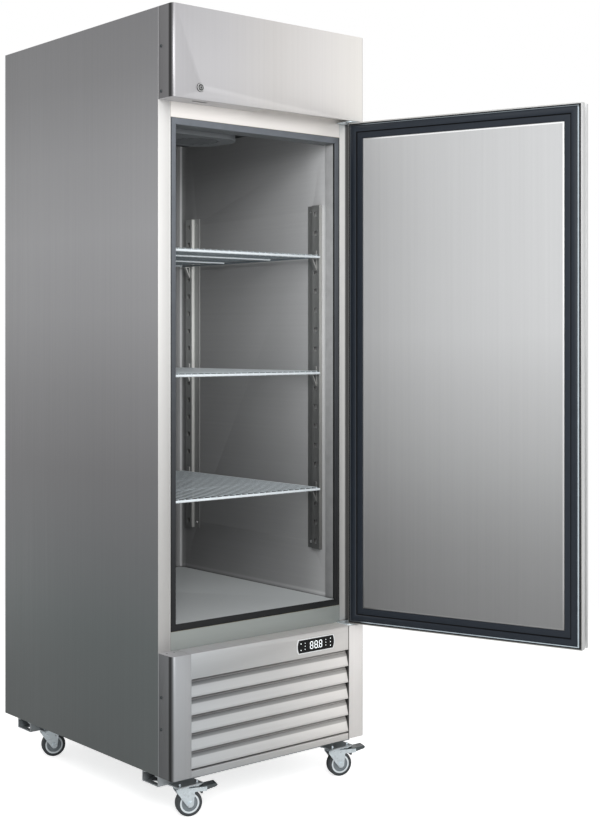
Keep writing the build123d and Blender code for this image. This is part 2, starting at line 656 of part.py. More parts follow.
def standard_screw_places():
    places = []
    for side, y0, y1, flange_end in standard_places():
        y = (flange_end + (y1 if flange_end > y1 else y0)) / 2
        for z in (STANDARD_BOTTOM + STANDARD_SCREW_END, STANDARD_TOP - STANDARD_SCREW_END):
            places.append((side, y, z))
    return places


def make_standards():
    """Hollow slotted standards with a screw flange on the liner's wall."""
    standards = []
    t = STANDARD_SHEET
    for side, y0, y1, flange_end in standard_places():
        wall = side * LINER_HALF_WIDTH
        face = side * STANDARD_X
        plan = outline([(wall, y0), (face, y0), (face, y1), (wall, y1)])
        hollow = outline([(wall + side, y0 + t), (face + side * t, y0 + t),
                          (face + side * t, y1 - t), (wall + side, y1 - t)])
        post = upright(plan, STANDARD_BOTTOM, STANDARD_TOP)
        post -= upright(hollow, STANDARD_BOTTOM - 1, STANDARD_TOP + 1)
        near = y1 - t / 2 if flange_end > y1 else y0 + t / 2
        post += box(wall, wall - side * t, flange_end, near, STANDARD_BOTTOM, STANDARD_TOP)
        middle, half = (y0 + y1) / 2, STANDARD_HOLE / 2
        for number in range(STANDARD_HOLES):
            z = standard_hole_z(number)
            post -= box(face - side, face + side * (t + 1), middle - half, middle + half, z - half, z + half)
        for s, y, z in standard_screw_places():
            if s == side and min(flange_end, near) < y < max(flange_end, near):
                post -= bore((wall + side, y, z), (wall - side * (t + 1), y, z), SCREW_SHANK + FIT, 4)
        standards.append(post)
    keep("shelf_standards", *standards)

    screws = []
    for side, y, z in standard_screw_places():
        seat = side * (LINER_HALF_WIDTH - STANDARD_SHEET)
        shank = rod((seat, y, z), (side * (LINER_HALF_WIDTH + LINER_THICK), y, z), SCREW_SHANK, 4)
        head = rod((seat, y, z), (seat - side * SCREW_RISE, y, z), SCREW_HEAD, 6)
        screws.append(shank + head)
    keep("standard_screws", *screws)


def shelf_seat_z(hole_number):
    """Top of a clip's ledge: the side bar of the shelf lies on it."""
    return standard_hole_z(hole_number) - CLIP_DROP


def clip_section():
    """A clip seen from the front: standard's face at X = 0, ledge top at Z = 0, cabin at -X."""
    t, out = CLIP_SHEET, CLIP_TONGUE
    hole_play = STANDARD_HOLE / 2 - FIT
    hole_low, hole_high = CLIP_DROP - hole_play, CLIP_DROP + hole_play
    foot = CLIP_DROP - SHELF_HOLE_PITCH + 2
    body = outline([(out, hole_low), (out, hole_high), (-t, hole_high), (-t, 0), (-CLIP_REACH, 0),
                    (-CLIP_REACH, -t), (0, foot), (0, hole_low)])
    opening = outline([(-t, -t), (-CLIP_REACH + 2 * t, -t), (-t, foot * 0.62)])
    return body - opening


def make_clips():
    section = clip_section()
    clips = []
    for number in SHELF_HOLES:
        for side, y0, y1, _ in standard_places():
            clip = along(section, -CLIP_WIDTH / 2, CLIP_WIDTH / 2)
            if side < 0:
                clip = mirror(clip, Plane.YZ)
            clips.append(Pos(side * STANDARD_X, (y0 + y1) / 2, shelf_seat_z(number)) * clip)
    keep("shelf_clips", *clips)


def shelf():
    """One wire shelf with its side bars resting at Z = 0."""
    side, front, back = SHELF_HALF_WIDTH - SIDE_BAR, SHELF_FRONT, SHELF_BACK
    low = SIDE_BAR
    top = low + WIRE
    shape = box(-side, side, front + WIRE, front + 2 * WIRE, low - WIRE, low)
    shape += box(-side, side, back, back + WIRE, low - WIRE, low)
    for s in (-1, 1):
        shape += box(s * side, s * SHELF_HALF_WIDTH, front + WIRE, back + WIRE, 0, low)
    room = (back - front) / (CROSS_RODS + 0.5)
    for k in range(CROSS_RODS):
        y = front + (k + 0.75) * room
        shape += box(-side, side, y - CROSS_ROD / 2, y + CROSS_ROD / 2, low - FIT - CROSS_ROD, low - FIT)
    wire = outline([(front, top - SHELF_NOSE), (front + WIRE, top - SHELF_NOSE), (front + WIRE, low),
                    (back + WIRE, low), (back + WIRE, top), (front, top)])
    count = int(2 * side // WIRE_PITCH)
    for k in range(count + 1):
        x = (k - count / 2) * WIRE_PITCH
        shape += across(wire, x - WIRE / 2, x + WIRE / 2)
    return shape


def make_shelves():
    one = shelf()
    for name, number in zip(("shelf_top", "shelf_middle", "shelf_bottom"), SHELF_HOLES):
        keep(name, Pos(0, 0, shelf_seat_z(number)) * one)


def fan_blades(hub_radius, tip_radius, hub_height):
    """A hub with pitched blades, turning about Z, hub foot at Z = 0."""
    hub = upright(RegularPolygon(hub_radius, 12), 0, hub_height)
    plan = outline([(hub_radius - 3, -7), (hub_radius - 3, 7), (tip_radius - 6, 22), (tip_radius, 10),
                    (tip_radius, -16), (tip_radius - 10, -22)])
    blade = Pos(0, 0, hub_height / 2 - 0.8) * (Rot(28, 0, 0) * extrude(plan, amount=1.6))
    for k in range(FAN_BLADES):
        hub += Rot(0, 0, k * 360 / FAN_BLADES) * blade
    return hub - bore((0, 0, -1), (0, 0, hub_height + 1), SHAFT_RADIUS + RUNNING, 8)


def evaporator_cover():
    """False ceiling with the shroud that hangs from it on the left."""
    s = SHROUD_SHEET
    half = LINER_HALF_WIDTH - 2 * FIT
    y0, y1 = SHROUD_FRONT, SHROUD_FRONT + SHROUD_DEPTH
    cover = box(-half, half, LINTEL_DEPTH + 1, LINER_BACK - LINER_COVE - 1, FALSE_CEILING, FALSE_CEILING + s)
    plan = [(-half, y0), (SHROUD_END_X, y0), (SHROUD_END_X, y1), (-half, y1)]
    plan = outline(plan, ((1, SHROUD_CORNER), (2, SHROUD_CORNER)))
    room = [(s - half, y0 + s), (SHROUD_END_X - s, y0 + s), (SHROUD_END_X - s, y1 - s), (s - half, y1 - s)]
    room = outline(room, ((1, SHROUD_CORNER - s), (2, SHROUD_CORNER - s)))
    cover += upright(plan, SHROUD_BOTTOM, FALSE_CEILING + s)
    cover -= upright(room, SHROUD_BOTTOM + s, FALSE_CEILING + s + 1)
    fan_y = (y0 + y1) / 2
    for k in range(GUARD_SLOTS):
        offset = (k - (GUARD_SLOTS - 1) / 2) * GUARD_PITCH
        reach = math.sqrt((EVAPORATOR_FAN_RADIUS + 4) ** 2 - offset ** 2)
        y = fan_y + offset
        x, half_slot = EVAPORATOR_FAN_X, GUARD_PITCH * 0.3
        cover -= box(x - reach, x + reach, y - half_slot, y + half_slot, SHROUD_BOTTOM - 1,
                     SHROUD_BOTTOM + s + 1)
    for k in range(4):
        x = half * (0.2 + 0.16 * k)
        cover -= box(x, x + 16, LINER_BACK - 325, LINER_BACK - 105, FALSE_CEILING - 1, FALSE_CEILING + s + 1)
    return cover


def finned_block(x0, x1, y0, y1, z0, z1):
    """A coil as a block of fins, grooved between them."""
    block = box(x0, x1, y0, y1, z0, z1)
    count = int((x1 - x0 - FIN_GAP) // FIN_PITCH)
    first = (x0 + x1 - (count - 1) * FIN_PITCH - FIN_GAP) / 2
    for k in range(count):
        x = first + k * FIN_PITCH
        block -= box(x, x + FIN_GAP, y0 - 1, y0 + FIN_CUT, z0 - 1, z1 + 1)
    return block


def return_bend(x, y, z, height, tube):
    """A square-shouldered return bend that leaves a coil's end plate towards +X."""
    h, t, reach = height / 2, tube, height * 0.7
    points = [(0, -h), (reach - t, -h), (reach, t - h), (reach, h - t), (reach - t, h), (0, h), (0, h - t),
              (reach - t, h - t), (reach - t, t - h), (0, t - h)]
    return Pos(x, y, z) * along(outline(points), -tube / 2, tube / 2)


def make_evaporator():
    """Cover, coil, motor and fan; gives back the motor."""
    keep("evaporator_cover", evaporator_cover())
    half = LINER_HALF_WIDTH - EVAPORATOR_SIDE_GAP
    y1 = LINER_BACK - EVAPORATOR_BACK_GAP
    y0 = y1 - EVAPORATOR_DEPTH
    z0, z1 = FALSE_CEILING + EVAPORATOR_LIFT, LINER_CEILING - EVAPORATOR_LIFT
    coil = finned_block(-half, half, y0, y1, z0, z1)
    for side in (-1, 1):
        coil += box(side * half, side * (half + 3), y0 - 10, y1 + 10, FALSE_CEILING + SHROUD_SHEET, z1 + 5)
    for k in range(2):
        coil += return_bend(half + 3, y0 + EVAPORATOR_DEPTH * (k + 1) / 3, (z0 + z1) / 2, 48, 10)
    keep("evaporator_coil", coil)

    fan_y = SHROUD_FRONT + SHROUD_DEPTH / 2
    reach = SHROUD_DEPTH / 2 - SHROUD_SHEET
    motor = upright(RegularPolygon(24, 12), 0, 52) + upright(Circle(SHAFT_RADIUS), -22, 0)
    motor += box(-30, 30, -reach, reach, 14, 17)
    motor_z = SHROUD_BOTTOM + 40
    fan = fan_blades(14, EVAPORATOR_FAN_RADIUS, 16)
    keep("evaporator_fan", Pos(EVAPORATOR_FAN_X, fan_y, motor_z - 22) * fan)
    return Pos(EVAPORATOR_FAN_X, fan_y, motor_z) * motor


# ---------------------------------------------------------------- machine space
def make_condenser(evaporator_motor):
    inner = HALF_WIDTH - SKIN - FIT
    keep("base_pan", box(-inner, inner, SKIN + FIT, CABINET_DEPTH - 2 * SKIN - FIT, CABINET_BOTTOM, PAN_TOP))

    c0, c1 = CONDENSER_LEFT, CONDENSER_RIGHT
    y0, y1 = CONDENSER_FRONT, CONDENSER_FRONT + CONDENSER_DEPTH
    shroud_front = y1 + 12
    coil = finned_block(c0, c1, y0, y1, PAN_TOP + 8, CONDENSER_TOP)
    for x0, x1 in ((c0 - 2, c0), (c1, c1 + 2)):
        coil += box(x0, x1, y0, shroud_front, PAN_TOP, CONDENSER_TOP + 4)
    for k in range(3):
        coil += return_bend(c1 + 2, y0 + 20, PAN_TOP + CONDENSER_HEIGHT * (k + 0.8) / 3.4, 46, 9)
    keep("condenser_coil", coil)

    fan_x = (c0 + c1) / 2
    fan_z = (PAN_TOP + CONDENSER_TOP) / 2 + 4
    centre = Pos(fan_x, fan_z)
    shroud_back = shroud_front + 2
    shroud = box(c0, c1, shroud_front, shroud_back, PAN_TOP, CONDENSER_TOP)
    shroud += along(centre * RegularPolygon(CONDENSER_FAN_RADIUS + 14, 16), shroud_front, shroud_back + 26)
    mouth = RegularPolygon(CONDENSER_FAN_RADIUS + 11, 16)
    shroud -= along(centre * mouth, shroud_front - 1, shroud_back + 30)
    keep("condenser_shroud", shroud)

    motor_y = shroud_back + 34
    motor = along(centre * RegularPolygon(34, 12), motor_y, motor_y + 62)
    motor += along(centre * Circle(SHAFT_RADIUS), shroud_back + 2, motor_y)
    motor += box(fan_x - 40, fan_x + 40, motor_y + 8, motor_y + 54, PAN_TOP, PAN_TOP + 3)
    motor += box(fan_x - 12, fan_x + 12, motor_y + 26, motor_y + 36, PAN_TOP, fan_z)
    keep("fan_motors", motor, evaporator_motor)
    blades = fan_blades(20, CONDENSER_FAN_RADIUS, 20)
    keep("condenser_fan", Pos(fan_x, shroud_back + 6, fan_z) * (Rot(-90, 0, 0) * blades))


def make_compressor():
    r, h = COMPRESSOR_RADIUS, COMPRESSOR_HEIGHT
    base = PAN_TOP + FOOT_HEIGHT
    pot = turned([(r - 12, 0), (r, 12), (r, h - 34), (r - 30, h)], 16)
    pot += turned([(r + 3, h * 0.52), (r + 3, h * 0.52 + 8)], 16)
    pot += box(-FOOT_X - 20, FOOT_X + 20, -FOOT_Y - 17, FOOT_Y + 17, 0, 4)
    for dx in (-FOOT_X, FOOT_X):
        for dy in (-FOOT_Y, FOOT_Y):
            pot += box(dx - 9, dx + 9, dy - 9, dy + 9, -FOOT_HEIGHT, 0)
    compressor = Pos(COMPRESSOR_X, COMPRESSOR_Y, base) * pot
    keep("compressor", compressor)

    top = base + h
    x, y = COMPRESSOR_X + 30, COMPRESSOR_Y
    suction = [(x, y, top - 10), (x, y, top + 60), (x, y + 90, top + 60), (x, y + 90, INSULATED_FLOOR_BOTTOM)]
    x, y = COMPRESSOR_X - 20, COMPRESSOR_Y - 30
    high, aside, inlet = top + 44, CONDENSER_RIGHT + 26, CONDENSER_FRONT + 34
    delivery = [(x, y, top - 8), (x, y, high), (aside, y, high), (aside, inlet, high),
                (CONDENSER_RIGHT + 2, inlet, high)]
    pipes = [tube_along(points, PIPE_RADIUS) - compressor for points in (suction, delivery)]
    keep("refrigerant_pipes", *pipes)


def tube_along(points, radius):
    """A pipe of six sides along straight runs, mitred at its corners."""
    plane = Plane(origin=points[0], z_dir=Vector(*points[1]) - Vector(*points[0]))
    return sweep(plane * RegularPolygon(radius, 6), path=Polyline(*points), transition=Transition.RIGHT)


def make_machine_space():
    t = DRAIN_PAN_SHEET
    x0, x1 = DRAIN_PAN_FROM_SIDE - HALF_WIDTH, DRAIN_PAN_FROM_SIDE + DRAIN_PAN_WIDTH - HALF_WIDTH
    y1 = CABINET_DEPTH - DRAIN_PAN_FROM_BACK
    y0 = y1 - DRAIN_PAN_DEPTH
    tray = box(x0, x1, y0, y1, PAN_TOP, PAN_TOP + DRAIN_PAN_HEIGHT)
    tray -= box(x0 + t, x1 - t, y0 + t, y1 - t, PAN_TOP + t, PAN_TOP + DRAIN_PAN_HEIGHT + 1)
    keep("drain_pan", tray)
    right = HALF_WIDTH - SWITCH_BOX_FROM_SIDE
    case = box(right - SWITCH_BOX, right, SWITCH_BOX_FRONT, SWITCH_BOX_FRONT + SWITCH_BOX,
               PAN_TOP, PAN_TOP + SWITCH_BOX_HEIGHT)
    keep("electrical_box", chamfer(case.edges().filter_by(Axis.Z), 5))

    back, front = CABINET_DEPTH, CABINET_DEPTH - SKIN
    grille = box(-HALF_WIDTH, HALF_WIDTH, front, back, CABINET_BOTTOM, LOWER_FRONT_TOP - SEAM)
    pitch = (CABINET_WIDTH - 2 * VENT_SIDE + VENT_BAR) / VENT_COLUMNS
    for row in range(VENT_ROWS):
        z = CABINET_BOTTOM + VENT_RISE + row * VENT_PITCH
        for column in range(VENT_COLUMNS):
            x = VENT_SIDE - HALF_WIDTH + column * pitch
            grille -= box(x, x + pitch - VENT_BAR, front - 1, back + 1, z, z + VENT_HEIGHT)
    gland_at = Pos(HALF_WIDTH - GLAND_FROM_SIDE, CABINET_BOTTOM + GLAND_RISE)
    gland = along(gland_at * RegularPolygon(GLAND_FLANGE, 6), back, back + 5)
    gland += along(gland_at * RegularPolygon(GLAND_BODY, 12), back - 16, back + 14)
    gland -= along(gland_at * Circle(GLAND_BORE), back - 20, back + 20)
    grille -= along(gland_at * Circle(GLAND_BODY + FIT), front - 1, back + 1)
    keep("rear_grille", grille)
    keep("cord_gland", gland)


# ---------------------------------------------------------------- casters
def caster_places():
    places = []
    for end, y in (("front", CASTER_FRONT_Y), ("rear", CASTER_REAR_Y)):
        for side, x in (("left", -CASTER_X), ("right", CASTER_X)):
            places.append((f"{end}_{side}", x, y))
    return places


def bolt_places(x, y):
    return [(x + dx, y + dy) for dx in (-PLATE_BOLT_X, PLATE_BOLT_X) for dy in (-PLATE_BOLT_Y, PLATE_BOLT_Y)]


def place_caster(shape, x, y):
    return Pos(x, y, 0) * (Rot(0, 0, CASTER_HEADING) * shape)


def axle_point(y):
    return (CASTER_TRAIL, y, WHEEL_RADIUS)


def caster_plate():
    length, width = PLATE_LENGTH / 2, PLATE_WIDTH / 2
    plate = box(-length, length, -width, width, PLATE_BOTTOM, CASTER_HEIGHT)
    below, above = PLATE_BOTTOM - 1, CASTER_HEIGHT + 1
    plate -= bore((0, 0, below), (0, 0, above), KINGPIN_RADIUS + RUNNING)
    for bx, by in bolt_places(0, 0):
        plate -= bore((bx, by, below), (bx, by, above), BOLT_SHANK + FIT, 4)
    return plate


def caster_fork():
    """Pressed fork: race, crown, two legs that narrow to the axle, and the axle."""
    crown = 2 * WHEEL_RADIUS + CROWN_CLEARANCE
    crown_top = crown + FORK_SHEET
    x0, x1 = -FORK_BACK, CASTER_TRAIL + FORK_FRONT
    ends = [Line((x0, crown + 1), (x1, crown + 1)), Line((x0, crown - 5), (x1, crown - 5))]
    boss = Pos(CASTER_TRAIL, WHEEL_RADIUS) * RegularPolygon(10, 8, rotation=22.5)
    leg = make_hull([*ends, *boss.edges()])
    fork = box(x0, x1, -FORK_OUTER, FORK_OUTER, crown, crown_top)
    for y in (-FORK_OUTER, FORK_INNER):
        fork += along(leg, y, y + FORK_SHEET)
    race_top = crown_top + RACE_HEIGHT
    fork += upright(RegularPolygon(RACE_RADIUS, 12), crown_top - 1, race_top)
    fork += upright(RegularPolygon(KINGPIN_RADIUS, 8), race_top - 1, race_top + PLATE_THICK)
    fork += rod(axle_point(-FORK_OUTER), axle_point(FORK_OUTER), AXLE_RADIUS)
    for y in (-FORK_OUTER - 4, FORK_OUTER):
        fork += along(Pos(CASTER_TRAIL, WHEEL_RADIUS) * RegularPolygon(7, 6), y, y + 4)
    return fork


def brake_cheeks():
    """Two ears beside the wheel and the pin that carries the pedal."""
    px, pz = PEDAL_PIVOT_X, PEDAL_PIVOT_Z
    x0, x1 = CASTER_TRAIL + FORK_FRONT - 3, px + 6
    ears = rod((px, -FORK_OUTER, pz), (px, FORK_OUTER, pz), PEDAL_PIN)
    for y in (-FORK_OUTER, FORK_INNER):
        ears += box(x0, x1, y, y + FORK_SHEET, pz - 6, pz + 5)
    return ears


def brake_pedal():
    """A pressed foot lever with a shoe that bears on the tyre."""
    px, pz = PEDAL_PIVOT_X, PEDAL_PIVOT_Z
    half = FORK_INNER - 0.8
    end = px + PEDAL_LENGTH
    side_view = [(px - 5, pz - 5), (px + 4, pz - 5), (end - 4, pz + 2), (end, pz + 6), (end - 3, pz + 10.5),
                 (px - 2, pz + 6), (px - 5, pz + 4)]
    pedal = along(outline(side_view), -half, half)
    hollow = [(px + 6, pz - 6), (end - 6, pz - 6), (end - 6, pz + 6.5), (px + 6, pz + 4)]
    pedal -= along(outline(hollow), -half + 2, half - 2)
    shoe = [(px - 5, pz - 4), (px - 1, pz - 4), (px - 4, pz - 15), (px - 8, pz - 14)]
    pedal += along(outline(shoe), -TREAD_WIDTH * 0.36, TREAD_WIDTH * 0.36)
    for k in range(3):
        x = end - 8 - k * 7
        pedal -= box(x, x + 2.4, -half + 3, half - 3, pz + 9 - k * 0.8, pz + 14)
    return pedal - bore((px, -half - 1, pz), (px, half + 1, pz), PEDAL_PIN + RUNNING, 8)


def caster_tyre():
    r, half = WHEEL_RADIUS, TREAD_WIDTH / 2
    rings = [(r - TYRE_DROP, -half), (r, TYRE_EASE - half), (r, half - TYRE_EASE), (r - TYRE_DROP, half)]
    tyre = turned(rings, WHEEL_SIDES)
    tyre -= upright(RegularPolygon(r - TYRE_THICK, WHEEL_SIDES), -half - 1, half + 1)
    return Pos(*axle_point(0)) * (Rot(90, 0, 0) * tyre)


def caster_hub():
    """Wheel centre with a recessed web and a boss that fills the fork's width."""
    half = TREAD_WIDTH / 2 - HUB_RECESS
    hub = upright(RegularPolygon(WHEEL_RADIUS - TYRE_THICK - RUNNING, WHEEL_SIDES), -half, half)
    hub += upright(RegularPolygon(BOSS_RADIUS, 8), -FORK_INNER + 0.5, FORK_INNER - 0.5)
    hub -= bore((0, 0, -FORK_INNER), (0, 0, FORK_INNER), AXLE_RADIUS + RUNNING, 8)
    return Pos(*axle_point(0)) * (Rot(90, 0, 0) * hub)


def caster_rail(front_y, caster_y):
    """A channel across the base with a welded tab under each caster plate."""
    t, lip = RAIL_SHEET, RAIL_RETURN
    y0, y1 = front_y, front_y + RAIL_WIDTH
    z0, z1 = RAIL_BOTTOM, RAIL_TOP
    section = [(y0, z0), (y1, z0), (y1, z1), (y1 - lip, z1), (y1 - lip, z1 - t), (y1 - t, z1 - t)]
    section += [(y1 - t, z0 + t), (y0 + t, z0 + t), (y0 + t, z1 - t), (y0 + lip, z1 - t), (y0 + lip, z1), (y0, z1)]
    rail = across(outline(section), -HALF_WIDTH, HALF_WIDTH)
    tab_front = min(caster_y - PLATE_WIDTH / 2 - 3, y0)
    below, above = RAIL_BOTTOM - 1, RAIL_BOTTOM + t + 1
    for side in (-1, 1):
        half = PLATE_LENGTH / 2 + 4
        centre = side * CASTER_X
        rail += box(centre - half, centre + half, tab_front, y0 + 1, RAIL_BOTTOM, RAIL_BOTTOM + t)
        end = side * (HALF_WIDTH - 20)
        rail -= box(end - 4.5, end + 4.5, y0 + RAIL_WIDTH / 2 - 12, y0 + RAIL_WIDTH / 2 + 12, below, above)
        for bx, by in bolt_places(centre, caster_y):
            rail -= bore((bx, by, below), (bx, by, above), BOLT_SHANK + FIT, 4)
    return rail


def make_casters():
    plates, bolts = [], []
    for name, x, y in caster_places():
        plates.append(Pos(x, y, 0) * caster_plate())
        fork = caster_fork()
        if name.startswith("front"):
            fork += brake_cheeks()
            keep(f"brake_pedal_{name}", place_caster(brake_pedal(), x, y))
        keep(f"caster_fork_{name}", place_caster(fork, x, y))
        keep(f"caster_tyre_{name}", place_caster(caster_tyre(), x, y))
        keep(f"caster_hub_{name}", place_caster(caster_hub(), x, y))
        for bx, by in bolt_places(x, y):
            head = rod((bx, by, PLATE_BOTTOM - BOLT_HEAD_HEIGHT), (bx, by, PLATE_BOTTOM), BOLT_HEAD, 6)
            shank = rod((bx, by, PLATE_BOTTOM - 1), (bx, by, RAIL_BOTTOM + RAIL_SHEET + 6), BOLT_SHANK, 4)
            bolts.append(head + shank)
    keep("caster_rails", caster_rail(0, CASTER_FRONT_Y), caster_rail(RAIL_REAR_Y, CASTER_REAR_Y))
    keep("caster_plates", *plates)
    keep("caster_bolts", *bolts)


# ---------------------------------------------------------------- door
def open_door(shape):
    """Turn a piece of the shut door to where the door stands open."""
    return shape.rotate(Axis((HINGE_X, HINGE_Y, 0), (0, 0, 1)), DOOR_OPEN_ANGLE)


def door_plan(inset, back):
    """Plan of the door pan with its corners eased and a finger groove at the free edge."""
    w = HALF_WIDTH - inset
    f = FRONT + inset
    r = max(DOOR_CORNER - inset, 0.5)
    groove = HALF_WIDTH - PULL_DEPTH - inset
    g0, g1 = PULL_FRONT - inset, PULL_BACK + inset
    points = [(w, back), (w, f), (-w, f), (-w, g0), (-groove, g0 - PULL_UNDERCUT),
              (-groove, g1 + PULL_UNDERCUT), (-w, g1), (-w, back)]
    return outline(points, ((1, r), (2, r)))


def make_door():
    t = DOOR_SKIN
    shell = upright(door_plan(0, DOOR_BACK), DOOR_BOTTOM, DOOR_TOP)
    shell -= upright(door_plan(t, DOOR_BACK + 1), DOOR_BOTTOM + t, DOOR_TOP - t)
    core = upright(door_plan(t + FIT, DOOR_BACK - FIT), DOOR_BOTTOM + t, DOOR_TOP - t)
    deep = BRACKET_THICK + PIN_LENGTH + 1
    for z in (DOOR_BOTTOM, DOOR_TOP):
        hole = bore((HINGE_X, HINGE_Y, z - deep), (HINGE_X, HINGE_Y, z + deep), SLEEVE_RADIUS + FIT, 12)
        shell -= hole
        core -= hole
    slot = cam_slot(LOCK_Z - CAM_LENGTH - 4, DOOR_TOP + 1)
    keep("door_skin", open_door(shell - slot))
    keep("door_foam", open_door(core - slot))

    band = GASKET_MARGIN + GASKET_WIDTH + DART_WIDTH + FIT
    half = HALF_WIDTH - band
    panel = box(-half, half, DOOR_BACK, DOOR_BACK + INNER_PANEL_RISE, DOOR_BOTTOM + band, DOOR_TOP - band)
    panel = chamfer(panel.edges().group_by(Axis.Y)[-1], INNER_PANEL_RISE * 0.6)
    half = HALF_WIDTH - t - FIT
    panel += box(-half, half, DOOR_BACK - FIT, DOOR_BACK, DOOR_BOTTOM + t + FIT, DOOR_TOP - t - FIT)
    keep("door_inner_panel", open_door(panel))

    half = HALF_WIDTH - GASKET_MARGIN
    z0, z1 = DOOR_BOTTOM + GASKET_MARGIN, DOOR_TOP - GASKET_MARGIN
    bellows = frame_ring(half, z0, z1, GASKET_WIDTH, DOOR_BACK, DOOR_BACK + GASKET_HEIGHT)
    bellows = chamfer(bellows.edges().group_by(Axis.Y)[-1], GASKET_HEIGHT / 3, GASKET_HEIGHT / 2)
    w = GASKET_WIDTH
    dart = frame_ring(half - w, z0 + w, z1 - w, DART_WIDTH, DOOR_BACK, DOOR_BACK + DART_HEIGHT)
    keep("door_gasket", open_door(bellows + dart))


def make_hinges():
    """Brackets with pins on the cabinet, arms with sleeves on the door."""
    brackets, arms = [], []
    right = HALF_WIDTH - 2
    left = right - BRACKET_WIDTH
    for face, inward in ((LOWER_FRONT_TOP, 1), (HEADER_BOTTOM, -1)):
        def height(rise):
            return face + inward * rise

        plate = outline([(left, -4), (left, FRONT + 14), (left + 8, FRONT + 6), (right - 8, FRONT + 4),
                         (right, FRONT + 12), (right, -4)])
        bracket = upright(plate, *sorted((face, height(BRACKET_THICK))))
        for dx, dy in bracket_screws():
            x = HALF_WIDTH - dx
            bracket -= bore((x, -dy, height(-1)), (x, -dy, height(BRACKET_THICK + 1)), BRACKET_SCREW, 6)
        pin_end = height(BRACKET_THICK + PIN_LENGTH)
        bracket += rod((HINGE_X, HINGE_Y, face), (HINGE_X, HINGE_Y, pin_end), PIN_RADIUS)
        brackets.append(bracket)

        near, far = HINGE_X + ARM_HALF_WIDTH, HINGE_X - ARM_LENGTH
        w, e = ARM_HALF_WIDTH, ARM_HALF_WIDTH / 2
        plan = [(near, -e), (near, e), (near - e, w), (far + e, w)]
        plan += [(far, e), (far, -e), (far + e, -w), (near - e, -w)]
        plan = outline([(x, HINGE_Y + y) for x, y in plan])
        arm = upright(plan, *sorted((height(BRACKET_THICK + 0.3), height(DOOR_GAP))))
        sleeve_end = height(BRACKET_THICK + PIN_LENGTH + 1)
        sleeve = (HINGE_X, HINGE_Y, height(DOOR_GAP - 1)), (HINGE_X, HINGE_Y, sleeve_end)
        arm += rod(*sleeve, SLEEVE_RADIUS, 12)
        arm -= bore((HINGE_X, HINGE_Y, face), (HINGE_X, HINGE_Y, height(40)), PIN_RADIUS + RUNNING, 12)
        arms.append(open_door(arm))
    keep("hinge_brackets", *brackets)
    keep("door_hinge_arms", *arms)


# ---------------------------------------------------------------- build
make_cabinet()
make_header()
make_lock()
make_lower_front()
keep("grille_panel", grille_panel())
make_control()
make_cheek_screws()
make_standards()
make_clips()
make_shelves()
make_condenser(make_evaporator())
make_compressor()
make_machine_space()
make_casters()
make_door()
make_hinges()

for name, shape in pieces.items():
    export_step(shape, f"parts/{name}.step")
print(len(pieces), "pieces written")
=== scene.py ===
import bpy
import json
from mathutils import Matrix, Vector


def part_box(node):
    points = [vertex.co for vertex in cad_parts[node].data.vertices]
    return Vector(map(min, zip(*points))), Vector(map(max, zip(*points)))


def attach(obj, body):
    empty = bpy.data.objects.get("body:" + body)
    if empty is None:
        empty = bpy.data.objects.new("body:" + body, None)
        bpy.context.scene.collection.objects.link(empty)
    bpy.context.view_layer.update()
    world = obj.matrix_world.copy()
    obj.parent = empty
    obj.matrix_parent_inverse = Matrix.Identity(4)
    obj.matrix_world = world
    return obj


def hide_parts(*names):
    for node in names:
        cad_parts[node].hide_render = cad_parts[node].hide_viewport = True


bl_info = {
    "name": "Upright freezer",
    "version": (1, 0, 0),
    "blender": (4, 5, 0),
    "location": "3D View > Sidebar > Freezer",
    "description": "Dresses the frame of an upright freezer with its finishes and fine pieces",
    "category": "Object",
}

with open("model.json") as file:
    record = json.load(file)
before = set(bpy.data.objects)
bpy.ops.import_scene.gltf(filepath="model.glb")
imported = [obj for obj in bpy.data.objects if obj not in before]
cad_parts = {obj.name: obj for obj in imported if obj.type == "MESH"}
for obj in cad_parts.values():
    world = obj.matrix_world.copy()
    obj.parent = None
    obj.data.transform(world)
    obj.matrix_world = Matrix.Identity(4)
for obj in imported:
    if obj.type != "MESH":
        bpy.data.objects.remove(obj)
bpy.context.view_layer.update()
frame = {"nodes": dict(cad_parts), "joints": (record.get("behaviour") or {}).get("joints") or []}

import json
import math

import bpy
from mathutils import Matrix, Vector

JOINTS = {joint["name"]: joint for joint in frame["joints"]}
CASTERS = ("front_left", "front_right", "rear_left", "rear_right")
SHELVES = ("shelf_top", "shelf_middle", "shelf_bottom")

HINGE = Vector(JOINTS["door_hinge"]["pos_m"])
DOOR_OPEN = math.radians(-JOINTS["door_hinge"]["range_deg"][0])
SHUT = Matrix.Translation(HINGE) @ Matrix.Rotation(-DOOR_OPEN, 4, "Z") @ Matrix.Translation(-HINGE)


def srgb(code):
    """A hex colour, as a colour picker shows it, in linear values."""
    values = [int(code[i:i + 2], 16) / 255 for i in (0, 2, 4)]
    return tuple(v / 12.92 if v <= 0.04045 else ((v + 0.055) / 1.055) ** 2.4 for v in values)


# ---------------------------------------------------------------- what a user would change
def length(name, text, default):
    return bpy.props.FloatProperty(name=name, description=text, default=default, min=0.0, precision=4, unit="LENGTH")


def colour(name, text, code):
    return bpy.props.FloatVectorProperty(
        name=name, description=text, default=srgb(code), min=0.0, max=1.0, size=3, subtype="COLOR")


